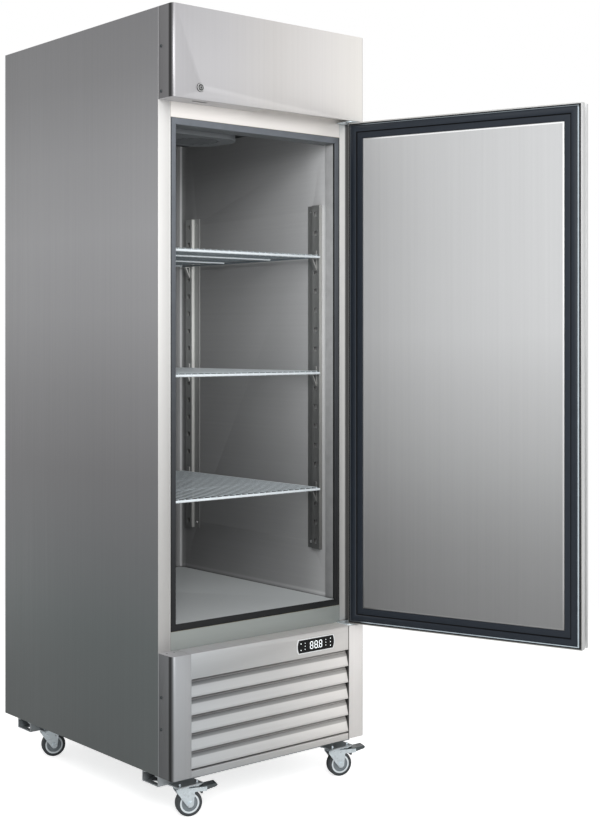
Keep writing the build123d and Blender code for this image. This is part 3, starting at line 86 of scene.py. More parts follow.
class FreezerSizes(bpy.types.PropertyGroup):
    """Sizes of the fine pieces, in metres."""

    wire_diameter: length("Shelf wire", "Thickness of the shelf's thin wires", 0.0034)
    wire_pitch: length("Wire pitch", "From one thin wire to the next", 0.0215)
    wire_bend: length("Wire bend", "Radius at which the wires turn down over the front", 0.0030)
    side_rod: length("Side rod", "Thickness of the rods down the shelf's sides", 0.0062)
    cross_rod: length("Cross rod", "Thickness of the rods under the wires", 0.0048)
    front_rod: length("Front rod", "Thickness of the rod under the wires' front bends", 0.0074)
    tyre_thickness: length("Tyre", "Thickness of the tyre on its wheel centre", 0.0085)
    tyre_shoulder: length("Tyre shoulder", "Rounding of the tyre's outer edges", 0.0045)
    hub_ring: length("Hub ring", "Width of the light ring round the wheel centre", 0.0048)
    hub_dish: length("Hub dish", "Depth of the dish in the wheel centre", 0.0028)
    hub_boss: length("Hub boss", "Radius of the boss round the axle", 0.0088)
    screw_dome: length("Screw dome", "Rounding of the screw heads", 0.0011)
    screw_slot: length("Screw slot", "Width of the arms of the cross in the screw heads", 0.0011)
    sheet_edge: length("Sheet edge", "Rounding of the folded sheets' edges", 0.0006)
    panel_edge: length("Panel edge", "Rounding of the edge of the door's raised panel", 0.0014)
    digit_height: length("Digit height", "Height of the figures on the display", 0.0190)
    digit_stroke: length("Digit stroke", "Width of a figure's bars", 0.0028)


class FreezerColours(bpy.types.PropertyGroup):
    """Colours of the finishes."""

    front_steel: colour("Front steel", "Header, grille and posts", "ece9e7")
    door_steel: colour("Door steel", "Outside of the door", "cfd0d0")
    # The same steel as the front's, painted darker: painted shade and a painted dark reflection on the side sheets.
    side_steel: colour("Side steel", "Side sheets and top", "99999b")
    # The side sheets' steel painted near white where their folded front edges face the light: painted light.
    stile_steel: colour("Stile steel", "Front edges of the side sheets", "f4f3f1")
    # Lightened over the steel's own colour: painted light that cancels the header's shadow on the upper rail.
    rail_steel: colour("Rail steel", "Rails over and under the doorway", "f6f2ee")
    # Set near white: painted light for the little light inside the cabinet, under the painted shade of its tones.
    liner_steel: colour("Liner steel", "Inside of the cabinet", "f4f5f6")
    door_liner_steel: colour("Door liner steel", "Inner panel of the door", "c6c7c8")
    # Painted highlight on the rolled edge of the door's raised panel.
    door_liner_edge_highlight: colour("Door liner edge", "Rolled edge of the door's raised panel", "f6f7f7")
    standard_steel: colour("Standard steel", "Slotted standards and shelf clips", "b9bbba")
    # The standards' steel painted near white on the folds that face the front: painted light.
    standard_fold: colour("Standard fold", "Front folds of the standards and clips", "f4f4f0")
    galvanised: colour("Galvanised", "Back sheet, base and rails under the cabinet", "a8adb0")
    plated: colour("Plated steel", "Caster forks, hinge brackets and arms", "d5dee3")
    breaker: colour("Breaker plastic", "Plastic strip round the doorway", "757a81")
    breaker_return: colour("Breaker return", "Inward face of the strip round the doorway", "d6d7d8")
    gasket: colour("Gasket rubber", "Door gasket", "1b222b")
    # Painted highlight on the gasket's ridge.
    gasket_highlight: colour("Gasket line", "Shiny ridge of the door gasket", "b9c5cd")
    # Painted shade on the gasket's outer lip and in its groove.
    gasket_groove_shade: colour("Gasket groove", "Outer lip and groove of the door gasket", "040507")
    wire_coat: colour("Wire coating", "Epoxy on the shelf wires", "eaf2f6")
    wire_shade: colour("Wire shade", "Side rods and undersides of the shelf wires", "78838a")
    # Dark grey plastic set lighter as painted light where little light reaches under the ceiling; its upper part
    # carries painted shade.
    shroud: colour("Shroud plastic", "False ceiling and fan shroud", "696d70")
    dark_plastic: colour("Dark plastic", "Fans, gland and electrical box", "22252a")
    display: colour("Display", "Face of the temperature display", "060607")
    bezel: colour("Bezel", "Rim of the temperature control", "e9ebec")
    figure: colour("Figures", "Lit figures and marks on the display", "eef4f6")
    chrome: colour("Lock chrome", "Lock's collar and plug", "d5d6d6")
    tyre: colour("Tyre", "Caster tyres", "33373a")
    hub: colour("Wheel centre", "Caster wheel centres", "7b8388")
    hub_ring: colour("Wheel ring", "Light ring round the wheel centres", "dbe2e6")
    pedal: colour("Brake pedal", "Brake pedals of the front casters", "3c4345")
    dark_screw: colour("Cheek screws", "Screws in the sides of the header and posts", "4c5153")
    foam: colour("Insulation", "Foam between the sheets", "d9c79a")
    aluminium: colour("Fin aluminium", "Fins of the coils", "b4b8ba")
    copper: colour("Copper", "Refrigerant pipes", "b8734a")
    enamel: colour("Enamel", "Compressor", "17181a")
    floor: colour("Floor", "Floor and surroundings", "f4f4f3")


def sizes():
    return bpy.context.scene.freezer_sizes


def colours():
    return bpy.context.scene.freezer_colours


# ---------------------------------------------------------------- finishes
def plain_finish(name, tint, metallic=0.0, roughness=0.5, **sockets):
    """A material with one shader, whose even values stand on the shader itself."""
    material = bpy.data.materials.new(name)
    material.use_nodes = True
    shader = material.node_tree.nodes["Principled BSDF"]
    shader.inputs["Base Color"].default_value = (*tint, 1.0)
    shader.inputs["Metallic"].default_value = metallic
    shader.inputs["Roughness"].default_value = roughness
    for socket, value in sockets.items():
        shader.inputs[socket.replace("_", " ")].default_value = value
    return material


NOISE_LOW, NOISE_HIGH = 0.3, 0.7        # nearly all of the noise lies between these


def pattern(material, stretch, detail=3.0):
    """Noise on the piece's own coordinates, stretched by cycles per metre along X, Y and Z."""
    tree = material.node_tree
    place = tree.nodes.new("ShaderNodeTexCoord")
    mapping = tree.nodes.new("ShaderNodeMapping")
    mapping.inputs["Scale"].default_value = stretch
    noise = tree.nodes.new("ShaderNodeTexNoise")
    noise.inputs["Scale"].default_value = 1.0
    noise.inputs["Detail"].default_value = detail
    tree.links.new(place.outputs["Object"], mapping.inputs["Vector"])
    tree.links.new(mapping.outputs["Vector"], noise.inputs["Vector"])
    return noise.outputs["Fac"]


def spread(material, value, low, high, start=NOISE_LOW, end=NOISE_HIGH):
    """A value that runs from start to end, spread from low to high."""
    node = material.node_tree.nodes.new("ShaderNodeMapRange")
    node.inputs["From Min"].default_value = start
    node.inputs["From Max"].default_value = end
    node.inputs["To Min"].default_value = low
    node.inputs["To Max"].default_value = high
    material.node_tree.links.new(value, node.inputs["Value"])
    return node.outputs["Result"]


def shade(material, value, dark, light):
    """Tint the base colour from dark to light of itself with the noise."""
    tree = material.node_tree
    shader = tree.nodes["Principled BSDF"]
    tint = shader.inputs["Base Color"].default_value[:3]
    ramp = tree.nodes.new("ShaderNodeValToRGB")
    first, last = ramp.color_ramp.elements
    first.position, last.position = NOISE_LOW, NOISE_HIGH
    first.color = (*[min(c * dark, 1.0) for c in tint], 1.0)
    last.color = (*[min(c * light, 1.0) for c in tint], 1.0)
    tree.links.new(value, ramp.inputs["Fac"])
    tree.links.new(ramp.outputs["Color"], shader.inputs["Base Color"])


def way_along(material, axis):
    """The piece's own X, Y or Z, or how far it is across and up from a centre seen from the front."""
    tree = material.node_tree
    place = tree.nodes.new("ShaderNodeTexCoord").outputs["Object"]
    if isinstance(axis, str):
        parts = tree.nodes.new("ShaderNodeSeparateXYZ")
        tree.links.new(place, parts.inputs["Vector"])
        return parts.outputs[axis]
    flat = tree.nodes.new("ShaderNodeVectorMath")
    flat.operation = "MULTIPLY"
    flat.inputs[1].default_value = (1.0, 0.0, 1.0)
    tree.links.new(place, flat.inputs[0])
    away = tree.nodes.new("ShaderNodeVectorMath")
    away.operation = "DISTANCE"
    away.inputs[1].default_value = (axis[0], 0.0, axis[1])
    tree.links.new(flat.outputs["Vector"], away.inputs[0])
    return away.outputs["Value"]


def paint_light_and_shade(material, axis, stops):
    """Paint light and shade: multiply the base colour along an axis or out from a centre by the factors at their places
    in metres.
    """
    tree = material.node_tree
    base = tree.nodes["Principled BSDF"].inputs["Base Color"]
    way = way_along(material, axis)
    first, last = stops[0][0], stops[-1][0]
    ramp = tree.nodes.new("ShaderNodeValToRGB")
    elements = ramp.color_ramp.elements
    elements.remove(elements[1])
    for k, (where, factor) in enumerate(stops):
        position = (where - first) / (last - first)
        element = elements[0] if k == 0 else elements.new(position)
        element.position = position
        element.color = (factor, factor, factor, 1.0) if isinstance(factor, float) else (*factor, 1.0)
    tree.links.new(spread(material, way, 0.0, 1.0, first, last), ramp.inputs["Fac"])
    blend = tree.nodes.new("ShaderNodeMix")
    blend.data_type, blend.blend_type = "RGBA", "MULTIPLY"
    blend.inputs["Factor"].default_value = 1.0
    first_colour, second_colour = [socket for socket in blend.inputs if socket.type == "RGBA"]
    if base.is_linked:
        tree.links.new(base.links[0].from_socket, first_colour)
    else:
        first_colour.default_value = base.default_value
    tree.links.new(ramp.outputs["Color"], second_colour)
    tree.links.new([socket for socket in blend.outputs if socket.type == "RGBA"][0], base)


def roughen(material, value, low, high):
    """Let the noise run the roughness from low to high."""
    shader = material.node_tree.nodes["Principled BSDF"]
    material.node_tree.links.new(spread(material, value, low, high), shader.inputs["Roughness"])


def emboss(material, value, strength, distance=0.0002):
    """Raise the surface a little with the noise."""
    tree = material.node_tree
    bump = tree.nodes.new("ShaderNodeBump")
    bump.inputs["Strength"].default_value = strength
    bump.inputs["Distance"].default_value = distance
    tree.links.new(value, bump.inputs["Height"])
    tree.links.new(bump.outputs["Normal"], tree.nodes["Principled BSDF"].inputs["Normal"])


GRAINS = {                     # cycles per metre along X, Y and Z of the brushed lines
    "level": (2.5, 2.5, 420.0), "upright": (420.0, 420.0, 2.5), "inwards": (420.0, 2.5, 420.0),
}
STREAK_WIDTH = 3               # how many brushed lines go into a streak
GRAIN_PER_SPANGLE = 9          # how much finer the zinc's grain is than its crystal clouds

# Painted light and shade on each sheet along an axis: places in metres and the share of its colour there.
# They paint sheen and highlight lines, cast shadows, and shade in corners, recesses, towards the bottom and deep in the
# cabinet.
HEADER_ACROSS = ("X", ((-0.34, (0.55, 0.56, 0.59)), (-0.17, (0.615, 0.625, 0.65)), (0.0, 0.715), (0.17, 0.85),
                       (0.34, (0.985, 0.985, 0.96))))
POSTS_ACROSS = ("X", ((-0.34, (0.47, 0.50, 0.53)), (0.20, (0.72, 0.72, 0.72)), (0.30, 0.96), (0.34, 1.0)))
LOUVRES_ACROSS = ("X", ((-0.28, (0.58, 0.62, 0.65)), (0.0, (0.70, 0.72, 0.73)), (0.2765, (0.95, 0.95, 0.94)),
                        (0.2778, 0.08), (0.28, 0.08)))
ROUNDED_EDGE = ("Y", ((-0.0620, 1.0), (-0.0612, 0.95), (-0.0600, 0.55), (-0.0580, 0.22), (-0.0540, 0.05),
                      (-0.0500, 0.04), (-0.0470, 0.20), (-0.0440, 0.36), (-0.0030, 0.30), (-0.0025, 0.70), (0.0, 0.70)))
LOUVRE_DEPTH = ("Y", ((-0.062, 0.86), (-0.0614, 0.86), (-0.0606, 1.0), (-0.0556, 1.0), (-0.0550, 0.50),
                      (-0.0480, 0.50), (-0.0400, 0.46), (-0.0300, 0.20), (0.0, 0.05)))
LOCK_RING = ((-0.249, 1.901), ((0.0, 0.02), (0.0022, 0.02), (0.0028, 0.60), (0.0050, 0.60), (0.0058, 0.03),
                               (0.0082, 0.03), (0.0088, 0.90), (0.0104, 0.90), (0.0108, 0.04), (0.0130, 0.04)))
SIDE_HEIGHT = ("Z", ((0.11, (0.40, 0.44, 0.43)), (0.45, (0.40, 0.45, 0.44)), (0.67, (0.44, 0.46, 0.46)), (0.88, 0.51),
                     (1.10, 0.68), (1.32, 0.90), (1.53, 1.0), (1.75, 0.89), (1.97, 0.68), (2.11, 0.62)))
STILE_HEIGHT = ("Z", ((0.43, 0.58), (0.60, 0.62), (0.76, 0.66), (0.91, 0.73), (1.07, 0.80), (1.22, 0.88),
                      (1.38, 0.94), (1.53, 0.98), (1.84, 1.0)))
STILES_ACROSS = ("X", ((-0.340, 0.88), (-0.3040, 0.88), (-0.3030, 1.0), (0.3205, 1.0), (0.3240, 0.10), (0.340, 0.05)))
RAIL_HEIGHT = ("Z", ((0.50, (0.34, 0.38, 0.38)), (1.80, 1.0)))
BREAKER_HEIGHT = ("Z", ((0.48, 0.042), (0.67, 0.075), (0.83, 0.156), (0.99, 0.23), (1.15, 0.385), (1.30, 0.50),
                        (1.46, 0.69), (1.62, 0.77), (1.78, 0.90)))
BREAKER_SIDES = ("X", ((-0.30, 0.25), (-0.2975, 0.25), (-0.2960, 1.0), (0.27, 0.92), (0.2960, 0.60), (0.2975, 0.15),
                       (0.30, 0.15)))
RETURN_DEPTH = ("Y", ((0.0, 0.0), (0.0070, 0.0), (0.0085, 1.0), (0.04, 1.0)))
RETURN_HEIGHT = ("Z", ((0.482, 0.05), (0.499, 0.06), (0.505, 0.40), (0.70, 0.50), (0.91, 0.62), (1.03, 0.75),
                       (1.27, 0.95), (1.8065, 1.0), (1.8085, 0.08), (1.828, 0.08)))
LINER_HEIGHT = ("Z", ((0.498, 0.02), (0.5035, 0.02), (0.5045, 0.70), (0.5095, 0.70), (0.5110, 0.425), (0.70, 0.50),
                      (0.91, 0.625), (1.03, 0.75), (1.27, 0.95), (1.60, 1.0), (2.05, 1.0)))
WALL_DEPTH = ("Y", ((0.003, 1.0), (0.050, 1.0), (0.129, 0.75), (0.155, 0.705), (0.247, 0.61), (0.341, 0.55),
                    (0.439, 0.48), (0.541, 0.43), (0.646, 0.39), (0.746, 0.37)))
SHROUD_HEIGHT = ("Z", ((1.798, 1.0), (1.812, 1.0), (1.824, 0.12), (1.88, 0.12)))
FLOOR_DEPTH = ("Y", ((0.003, (0.57, 0.59, 0.59)), (0.746, (0.54, 0.56, 0.56))))
BACK_HEIGHT = ("Z", ((0.498, 0.02), (0.5035, 0.02), (0.5045, 0.42), (0.59, 0.46), (0.71, 0.53), (0.91, 0.70),
                     (1.03, 0.80), (1.27, 0.95), (1.39, 1.0)))
BACK_ACROSS = ("X", ((-0.286, 0.34), (0.2738, 0.28), (0.2750, 1.0), (0.2784, 1.0), (0.2796, 0.28), (0.286, 0.28)))
STANDARD_HEIGHT = ("Z", ((0.637, 0.36), (0.726, 0.38), (0.928, 0.56), (1.043, 0.62), (1.20, 0.98), (1.64, 1.0)))
STANDARD_DEPTH = ("Y", ((0.056, 0.68), (0.20, 0.68), (0.50, 1.0), (0.71, 1.0)))
FOLD_HEIGHT = ("Z", ((0.637, 0.32), (0.928, 0.58), (1.245, 1.0), (1.64, 1.0)))
FOLD_DEPTH = ("Y", ((0.056, 0.40), (0.30, 0.40), (0.50, 1.0), (0.71, 1.0)))
DOOR_HEIGHT = ("Z", ((0.48, 0.37), (0.565, 0.40), (0.68, 0.46), (0.79, 0.55), (0.90, 0.66), (1.01, 0.76),
                     (1.12, 0.85), (1.26, 0.98), (1.40, 1.0), (1.86, 0.98)))
DOOR_ACROSS = ("Y", ((-0.62, 1.0), (-0.50, 0.98), (-0.39, 0.95), (-0.28, 0.91), (-0.17, 0.85), (-0.10, 0.78)))
RIDGE_HEIGHT = ("Z", ((0.44, 1.0), (1.8490, 1.0), (1.8520, 0.30), (1.87, 0.30)))
RIDGE_REACH = ("Y", ((-0.693, 1.0), (-0.110, 1.0), (-0.090, 0.12), (-0.030, 0.12)))
EDGE_REACH = ("Y", ((-0.693, 1.0), (-0.160, 0.95), (-0.120, 0.55), (-0.030, 0.55)))
EDGE_HEIGHT = ("Z", ((0.48, 0.25), (0.60, 0.45), (1.20, 0.85), (1.50, 1.0), (1.86, 1.0)))
DOOR_REACH = ("Y", ((-0.693, 1.0), (-0.090, 1.0), (-0.070, 0.12), (-0.035, 0.10)))


def brushed_steel(name, tint, grain, roughness=0.42, streak=0.02, metallic=0.7, painted_light_and_shade=()):
    """Stainless sheet with fine lines along the grain, faint streaks, and painted light and shade from end to end."""
    material = plain_finish(name, tint, metallic, roughness, Anisotropic=0.3)
    fine = GRAINS[grain]
    lines = pattern(material, fine, detail=5.0)
    streaks = pattern(material, tuple(cycles / STREAK_WIDTH for cycles in fine), detail=4.0)
    shade(material, streaks, dark=1.0 - streak, light=1.0 + streak)
    roughen(material, lines, low=roughness - 0.04, high=roughness + 0.05)
    emboss(material, lines, strength=0.06)
    for axis, stops in painted_light_and_shade:
        paint_light_and_shade(material, axis, stops)
    return material


def zinc(name, tint, roughness=0.42, spangle=90.0):
    """Galvanised or plated steel with faint crystal clouds."""
    material = plain_finish(name, tint, 0.85, roughness)
    clouds = pattern(material, (spangle,) * 3, detail=2.0)
    shade(material, clouds, dark=0.95, light=1.03)
    roughen(material, clouds, low=roughness - 0.1, high=roughness + 0.12)
    emboss(material, pattern(material, (spangle * GRAIN_PER_SPANGLE,) * 3), strength=0.08)
    return material


def moulded(name, tint, roughness=0.5, grain=1400.0, depth=0.0002, painted_light_and_shade=(), **sockets):
    """Moulded plastic or rubber with a fine pebble grain."""
    material = plain_finish(name, tint, 0.0, roughness, **sockets)
    shade(material, pattern(material, (35.0,) * 3), dark=0.93, light=1.07)
    pebbles = pattern(material, (grain,) * 3, detail=2.0)
    roughen(material, pebbles, low=roughness - 0.06, high=roughness + 0.08)
    emboss(material, pebbles, strength=0.25, distance=depth)
    # Painted light and shade along the given axes.
    for axis, stops in painted_light_and_shade:
        paint_light_and_shade(material, axis, stops)
    return material


def coated(name, tint, roughness=0.28, coat=0.5, **sockets):
    """Smooth coating with a slight orange-peel skin."""
    material = plain_finish(name, tint, 0.0, roughness, Coat_Weight=coat, Coat_Roughness=0.12, **sockets)
    shade(material, pattern(material, (60.0,) * 3), dark=0.95, light=1.05)
    emboss(material, pattern(material, (500.0,) * 3, detail=1.0), strength=0.15)
    return material


def lit(name, tint, strength):
    """A lit mark: its own colour, and a little light of it."""
    return plain_finish(name, tint, 0.0, 0.4, Emission_Color=(*tint, 1.0), Emission_Strength=strength)


def make_finishes():
    """All the finishes, by the part of the freezer that wears them."""
    c = colours()
    return {
        "header": brushed_steel(
            "header_steel", c.front_steel, "upright", streak=0.015, painted_light_and_shade=(HEADER_ACROSS, ROUNDED_EDGE)),
        "header_under": brushed_steel(
            "header_underside_steel", c.front_steel, "level", streak=0.015, metallic=0.3, painted_light_and_shade=(HEADER_ACROSS,)),
        "posts": brushed_steel(
            "post_steel", c.front_steel, "upright", streak=0.015, painted_light_and_shade=(POSTS_ACROSS, ROUNDED_EDGE)),
        "louvres": brushed_steel(
            "louvre_steel", c.front_steel, "level", streak=0.015, painted_light_and_shade=(LOUVRES_ACROSS, LOUVRE_DEPTH)),
        "door": brushed_steel(
            "door_steel", c.door_steel, "upright", roughness=0.4, streak=0.015, painted_light_and_shade=(DOOR_REACH,)),
        "door_outside": brushed_steel(
            "door_outside_steel", c.door_steel, "upright", roughness=0.4, streak=0.015),
        "side": brushed_steel(
            "side_steel", c.side_steel, "upright", metallic=0.6, painted_light_and_shade=(SIDE_HEIGHT,)),
        "stile": brushed_steel(
            "stile_steel", c.stile_steel, "upright", roughness=0.4, streak=0.01, metallic=0.5,
            painted_light_and_shade=(STILE_HEIGHT, STILES_ACROSS)),
        "top": brushed_steel("top_steel", c.side_steel, "inwards", streak=0.03),
        "rail": brushed_steel(
            "rail_steel", c.rail_steel, "level", roughness=0.45, streak=0.01, metallic=0.4, painted_light_and_shade=(RAIL_HEIGHT,)),
        "liner": brushed_steel(
            "liner_steel", c.liner_steel, "level", roughness=0.48, metallic=0.15, painted_light_and_shade=(LINER_HEIGHT, WALL_DEPTH)),
        "liner_floor": brushed_steel(
            "liner_floor_steel", c.liner_steel, "level", roughness=0.48, metallic=0.15, painted_light_and_shade=(FLOOR_DEPTH,)),
        "liner_back": brushed_steel(
            "liner_back_steel", c.liner_steel, "upright", roughness=0.48, metallic=0.15,
            painted_light_and_shade=(BACK_HEIGHT, BACK_ACROSS)),
        "door_liner": brushed_steel(
            "door_liner_steel", c.door_liner_steel, "upright", roughness=0.5, metallic=0.25,
            painted_light_and_shade=(DOOR_HEIGHT, DOOR_ACROSS)),
        "door_liner_edge_highlight": brushed_steel(
            "door_liner_edge_highlight", c.door_liner_edge_highlight, "upright", roughness=0.4, streak=0.012, metallic=0.1,
            painted_light_and_shade=(EDGE_HEIGHT, EDGE_REACH)),
        "standard": brushed_steel(
            "standard_steel", c.standard_steel, "upright", streak=0.03, metallic=0.5,
            painted_light_and_shade=(STANDARD_HEIGHT, STANDARD_DEPTH)),
        "standard_fold": brushed_steel(
            "standard_fold", c.standard_fold, "upright", metallic=0.2, painted_light_and_shade=(FOLD_HEIGHT, FOLD_DEPTH)),
        "galvanised": zinc("galvanised_steel", c.galvanised),
        "plated": zinc("plated_steel", c.plated, roughness=0.34, spangle=160.0),
        "screw": zinc("screw_steel", c.chrome, roughness=0.26, spangle=300.0),
        "dark_screw": zinc("cheek_screw_steel", c.dark_screw, roughness=0.3, spangle=300.0),
        "breaker": moulded(
            "breaker_plastic", c.breaker, painted_light_and_shade=(BREAKER_HEIGHT, BREAKER_SIDES), Specular_IOR_Level=0.3),
        "breaker_return": moulded(
            "breaker_return", c.breaker_return, painted_light_and_shade=(RETURN_HEIGHT, RETURN_DEPTH), Specular_IOR_Level=0.1),
        "gasket": moulded("gasket_rubber", c.gasket, grain=900.0, Specular_IOR_Level=0.3),
        "gasket_highlight": moulded(
            "gasket_ridge", c.gasket_highlight, roughness=0.4, grain=900.0, painted_light_and_shade=(RIDGE_HEIGHT, RIDGE_REACH),
            Specular_IOR_Level=0.3),
        "gasket_groove_shade": moulded(
            "gasket_groove_shade", c.gasket_groove_shade, roughness=0.6, grain=900.0, Specular_IOR_Level=0.15),
        "wire": coated("wire_epoxy", c.wire_coat),
        "wire_shade": coated("wire_epoxy_shade", c.wire_shade, roughness=0.4, coat=0.2),
        "shroud": moulded("shroud_plastic", c.shroud, painted_light_and_shade=(SHROUD_HEIGHT,)),
        "dark": moulded("dark_plastic", c.dark_plastic, roughness=0.48),
        "display": coated("display_black", c.display, roughness=0.35, coat=0.0, Specular_IOR_Level=0.2),
        "bezel": coated("bezel_white", c.bezel, roughness=0.3, coat=0.3),
        "figure": lit("lit_figures", c.figure, strength=1.0),
        "chrome": lock_chrome(c.chrome),
        "tyre": moulded("tyre_rubber", c.tyre, roughness=0.6, grain=700.0),
        "hub": moulded("wheel_centre", c.hub, roughness=0.45, grain=900.0),
        "hub_ring": moulded("wheel_ring", c.hub_ring, roughness=0.4, grain=900.0),
        "pedal": coated("pedal_paint", c.pedal, roughness=0.35, coat=0.25),
        "foam": moulded("foam", c.foam, roughness=0.9, grain=500.0, depth=0.0006),
        "aluminium": zinc("fin_aluminium", c.aluminium, roughness=0.4, spangle=60.0),
        "copper": zinc("copper_pipe", c.copper, roughness=0.3, spangle=80.0),
        "enamel": coated("black_enamel", c.enamel, roughness=0.3, coat=0.4),
    }


def lock_chrome(tint):
    """Polished lock metal with faint handling marks, and painted rings: painted shade in the keyway and between the
    plug and the collar, painted highlights on them.
    """
    material = plain_finish("lock_chrome", tint, metallic=0.6, roughness=0.3)
    roughen(material, pattern(material, (240.0,) * 3, detail=4.0), low=0.24, high=0.4)
    paint_light_and_shade(material, *LOCK_RING)
    return material


FINISHES = {}

WORN_BY = {
    "header": ("header_panel",),
    "posts": ("lower_post_left", "lower_post_right"),
    "louvres": ("grille_panel",),
    "door": ("door_skin",),
    "side": ("side_panel_left", "side_panel_right"),
    "top": ("top_panel",),
    "rail": ("front_rails",),
    "liner": ("inner_liner",),
    "door_liner": ("door_inner_panel",),
    "standard": ("shelf_standards", "shelf_clips"),
    "galvanised": ("rear_panel", "rear_grille", "base_pan", "caster_rails", "condenser_shroud", "drain_pan"),
    "plated": ("hinge_brackets", "door_hinge_arms", "caster_plates", "caster_bolts",
               *[f"caster_fork_{where}" for where in CASTERS]),
    "screw": ("cheek_screws", "standard_screws"),
    "breaker": ("breaker_strip",),
    "gasket": ("door_gasket",),
    "wire": SHELVES,
    "shroud": ("evaporator_cover",),
    "dark": ("evaporator_fan", "condenser_fan", "cord_gland", "electrical_box"),
    "display": ("controller_display",),
    "bezel": ("controller_body",),
    "chrome": ("lock_housing", "lock_plug"),
    "tyre": tuple(f"caster_tyre_{where}" for where in CASTERS),
    "hub": tuple(f"caster_hub_{where}" for where in CASTERS),
    "pedal": ("brake_pedal_front_left", "brake_pedal_front_right"),
    "foam": ("cabinet_foam", "door_foam"),
    "aluminium": ("evaporator_coil", "condenser_coil"),
    "copper": ("refrigerant_pipes",),
    "enamel": ("compressor", "fan_motors"),
}


# ---------------------------------------------------------------- working by hand
SAME_POINT = 0.00002           # points nearer than this are one
A_HAIR = 0.0001                # play allowed where a face or edge is found by its place


def take(*pieces):
    """Select only these pieces, the first one active."""
    bpy.ops.object.select_all(action="DESELECT")
    for piece in pieces:
        piece.select_set(True)
    bpy.context.view_layer.objects.active = pieces[0]


def start():
    """Deselect everything before a primitive is added."""
    bpy.ops.object.select_all(action="DESELECT")


def added(name):
    """Name the primitive that was just added, with its place in its mesh."""
    piece = bpy.context.active_object
    piece.name = piece.data.name = name
    bpy.ops.object.transform_apply(location=True, rotation=True, scale=True)
    return piece


def pick(piece, wanted, kind="FACE"):
    """Enter edit mode with only the wanted faces or edges selected."""
    take(piece)
    bpy.ops.object.mode_set(mode="EDIT")
    bpy.ops.mesh.select_mode(type=kind)
    bpy.ops.mesh.select_all(action="DESELECT")
    bpy.ops.object.mode_set(mode="OBJECT")
    mesh = piece.data
    if kind == "FACE":
        for face in mesh.polygons:
            face.select = wanted(face)
    else:
        for edge in mesh.edges:
            edge.select = wanted(*[mesh.vertices[i].co for i in edge.vertices])
    bpy.ops.object.mode_set(mode="EDIT")


def done():
    """Leave edit mode."""
    bpy.ops.object.mode_set(mode="OBJECT")


def merge_doubles(piece):
    """Enter edit mode, merge points that lie on each other and leave all selected."""
    take(piece)
    bpy.ops.object.mode_set(mode="EDIT")
    bpy.ops.mesh.select_all(action="SELECT")
    bpy.ops.mesh.remove_doubles(threshold=SAME_POINT)


def smooth(piece, angle=35.0):
    """Smooth the piece except over edges sharper than the angle in degrees."""
    take(piece)
    bpy.ops.object.shade_smooth_by_angle(angle=math.radians(angle))


def copy_at(piece, offset):
    """A copy with its own mesh, moved by offset."""
    take(piece)
    bpy.ops.object.duplicate(linked=False)
    bpy.ops.transform.translate(value=offset)
    twin = bpy.context.active_object
    bpy.ops.object.transform_apply(location=True, rotation=True, scale=True)
    return twin


def join(name, pieces):
    """Make one named piece of several."""
    take(*pieces)
    bpy.ops.object.join()
    piece = bpy.context.active_object
    piece.name = piece.data.name = name
    return piece


def put(piece, matrix):
    """Move and turn a piece, and keep its place in its mesh."""
    take(piece)
    piece.matrix_world = matrix @ piece.matrix_world
    bpy.ops.object.transform_apply(location=True, rotation=True, scale=True)


def paint(piece, index, wanted):
    """Give the wanted faces the finish with that index."""
    for face in piece.data.polygons:
        if wanted(face):
            face.material_index = index


def corners(points):
    """The lowest and highest corner of some points."""
    points = list(points)
    return (Vector(min(p[i] for p in points) for i in range(3)),
            Vector(max(p[i] for p in points) for i in range(3)))


def finish_piece(piece, finish, body, nodes=(), others=()):
    """Give a finished piece its finishes, its body and the nodes it stands for."""
    piece.data.materials.clear()
    for name in (finish, *others):
        piece.data.materials.append(FINISHES[name])
    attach(piece, body)
    if nodes:
        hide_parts(*nodes)


def rod(name, radius, start_point, end_point, sides=12, ease=0.0):
    """A round rod between two points, with eased ends."""
    a, b = Vector(start_point), Vector(end_point)
    run = b - a
    start()
    bpy.ops.mesh.primitive_cylinder_add(
        vertices=sides, radius=radius, depth=run.length, location=(a + b) / 2,
        rotation=run.to_track_quat("Z", "Y").to_euler())
    piece = added(name)
    if ease:
        pick(piece, lambda face: abs(face.normal.dot(run.normalized())) > 0.99)
        bpy.ops.mesh.bevel(offset=ease, segments=2, affect="EDGES")
        done()
    return piece


# ---------------------------------------------------------------- shelves
SHELF_NOSE_DROP = 0.0014       # how far the wires hang below the side rods
SIDE_ROD_SETBACK = 0.004       # from the shelf's front to the side rods
CROSS_RODS = 2
ROD_SEAT = 0.9                 # share of its radius at which a rod lies under the wires, welded in a little
FRONT_ROD_SEAT = 0.92
ROD_END = 0.6                  # share of the side rod's radius at which the front and back rods end
ROD_EASE, THIN_ROD_EASE = 0.001, 0.0008
WIRE_TIP = 0.0008              # length of the drawn-in tip of a wire, and the share that is left of it
TIP_SHARE = 0.6
SHELF_NOSE = 0.012             # depth of the front that keeps the light finish


def shelf_wire(x, low, high):
    """One thin wire: along the shelf, round the front bend and down."""
    s = sizes()
    r, bend = s.wire_diameter / 2, s.wire_bend
    start_y, axis_z = low.y + r + bend, high.z - r
    start()
    bpy.ops.mesh.primitive_cylinder_add(
        vertices=8, radius=r, depth=high.y - r - start_y, location=(x, (high.y - r + start_y) / 2, axis_z),
        rotation=(math.pi / 2, 0, 0))
    wire = added("wire")
    pick(wire, lambda face: face.normal.y < -0.9)
    bpy.ops.mesh.spin(steps=5, angle=math.pi / 2, center=(x, start_y, axis_z - bend), axis=(1, 0, 0))
    drop = axis_z - bend - low.z
    bpy.ops.mesh.extrude_region_move(TRANSFORM_OT_translate={"value": (0, 0, WIRE_TIP - drop)})
    bpy.ops.mesh.extrude_region_move(TRANSFORM_OT_translate={"value": (0, 0, -WIRE_TIP)})
    bpy.ops.transform.resize(value=(TIP_SHARE, TIP_SHARE, 1.0))
    done()
    merge_doubles(wire)
    bpy.ops.mesh.normals_make_consistent(inside=False)
    done()
    return wire


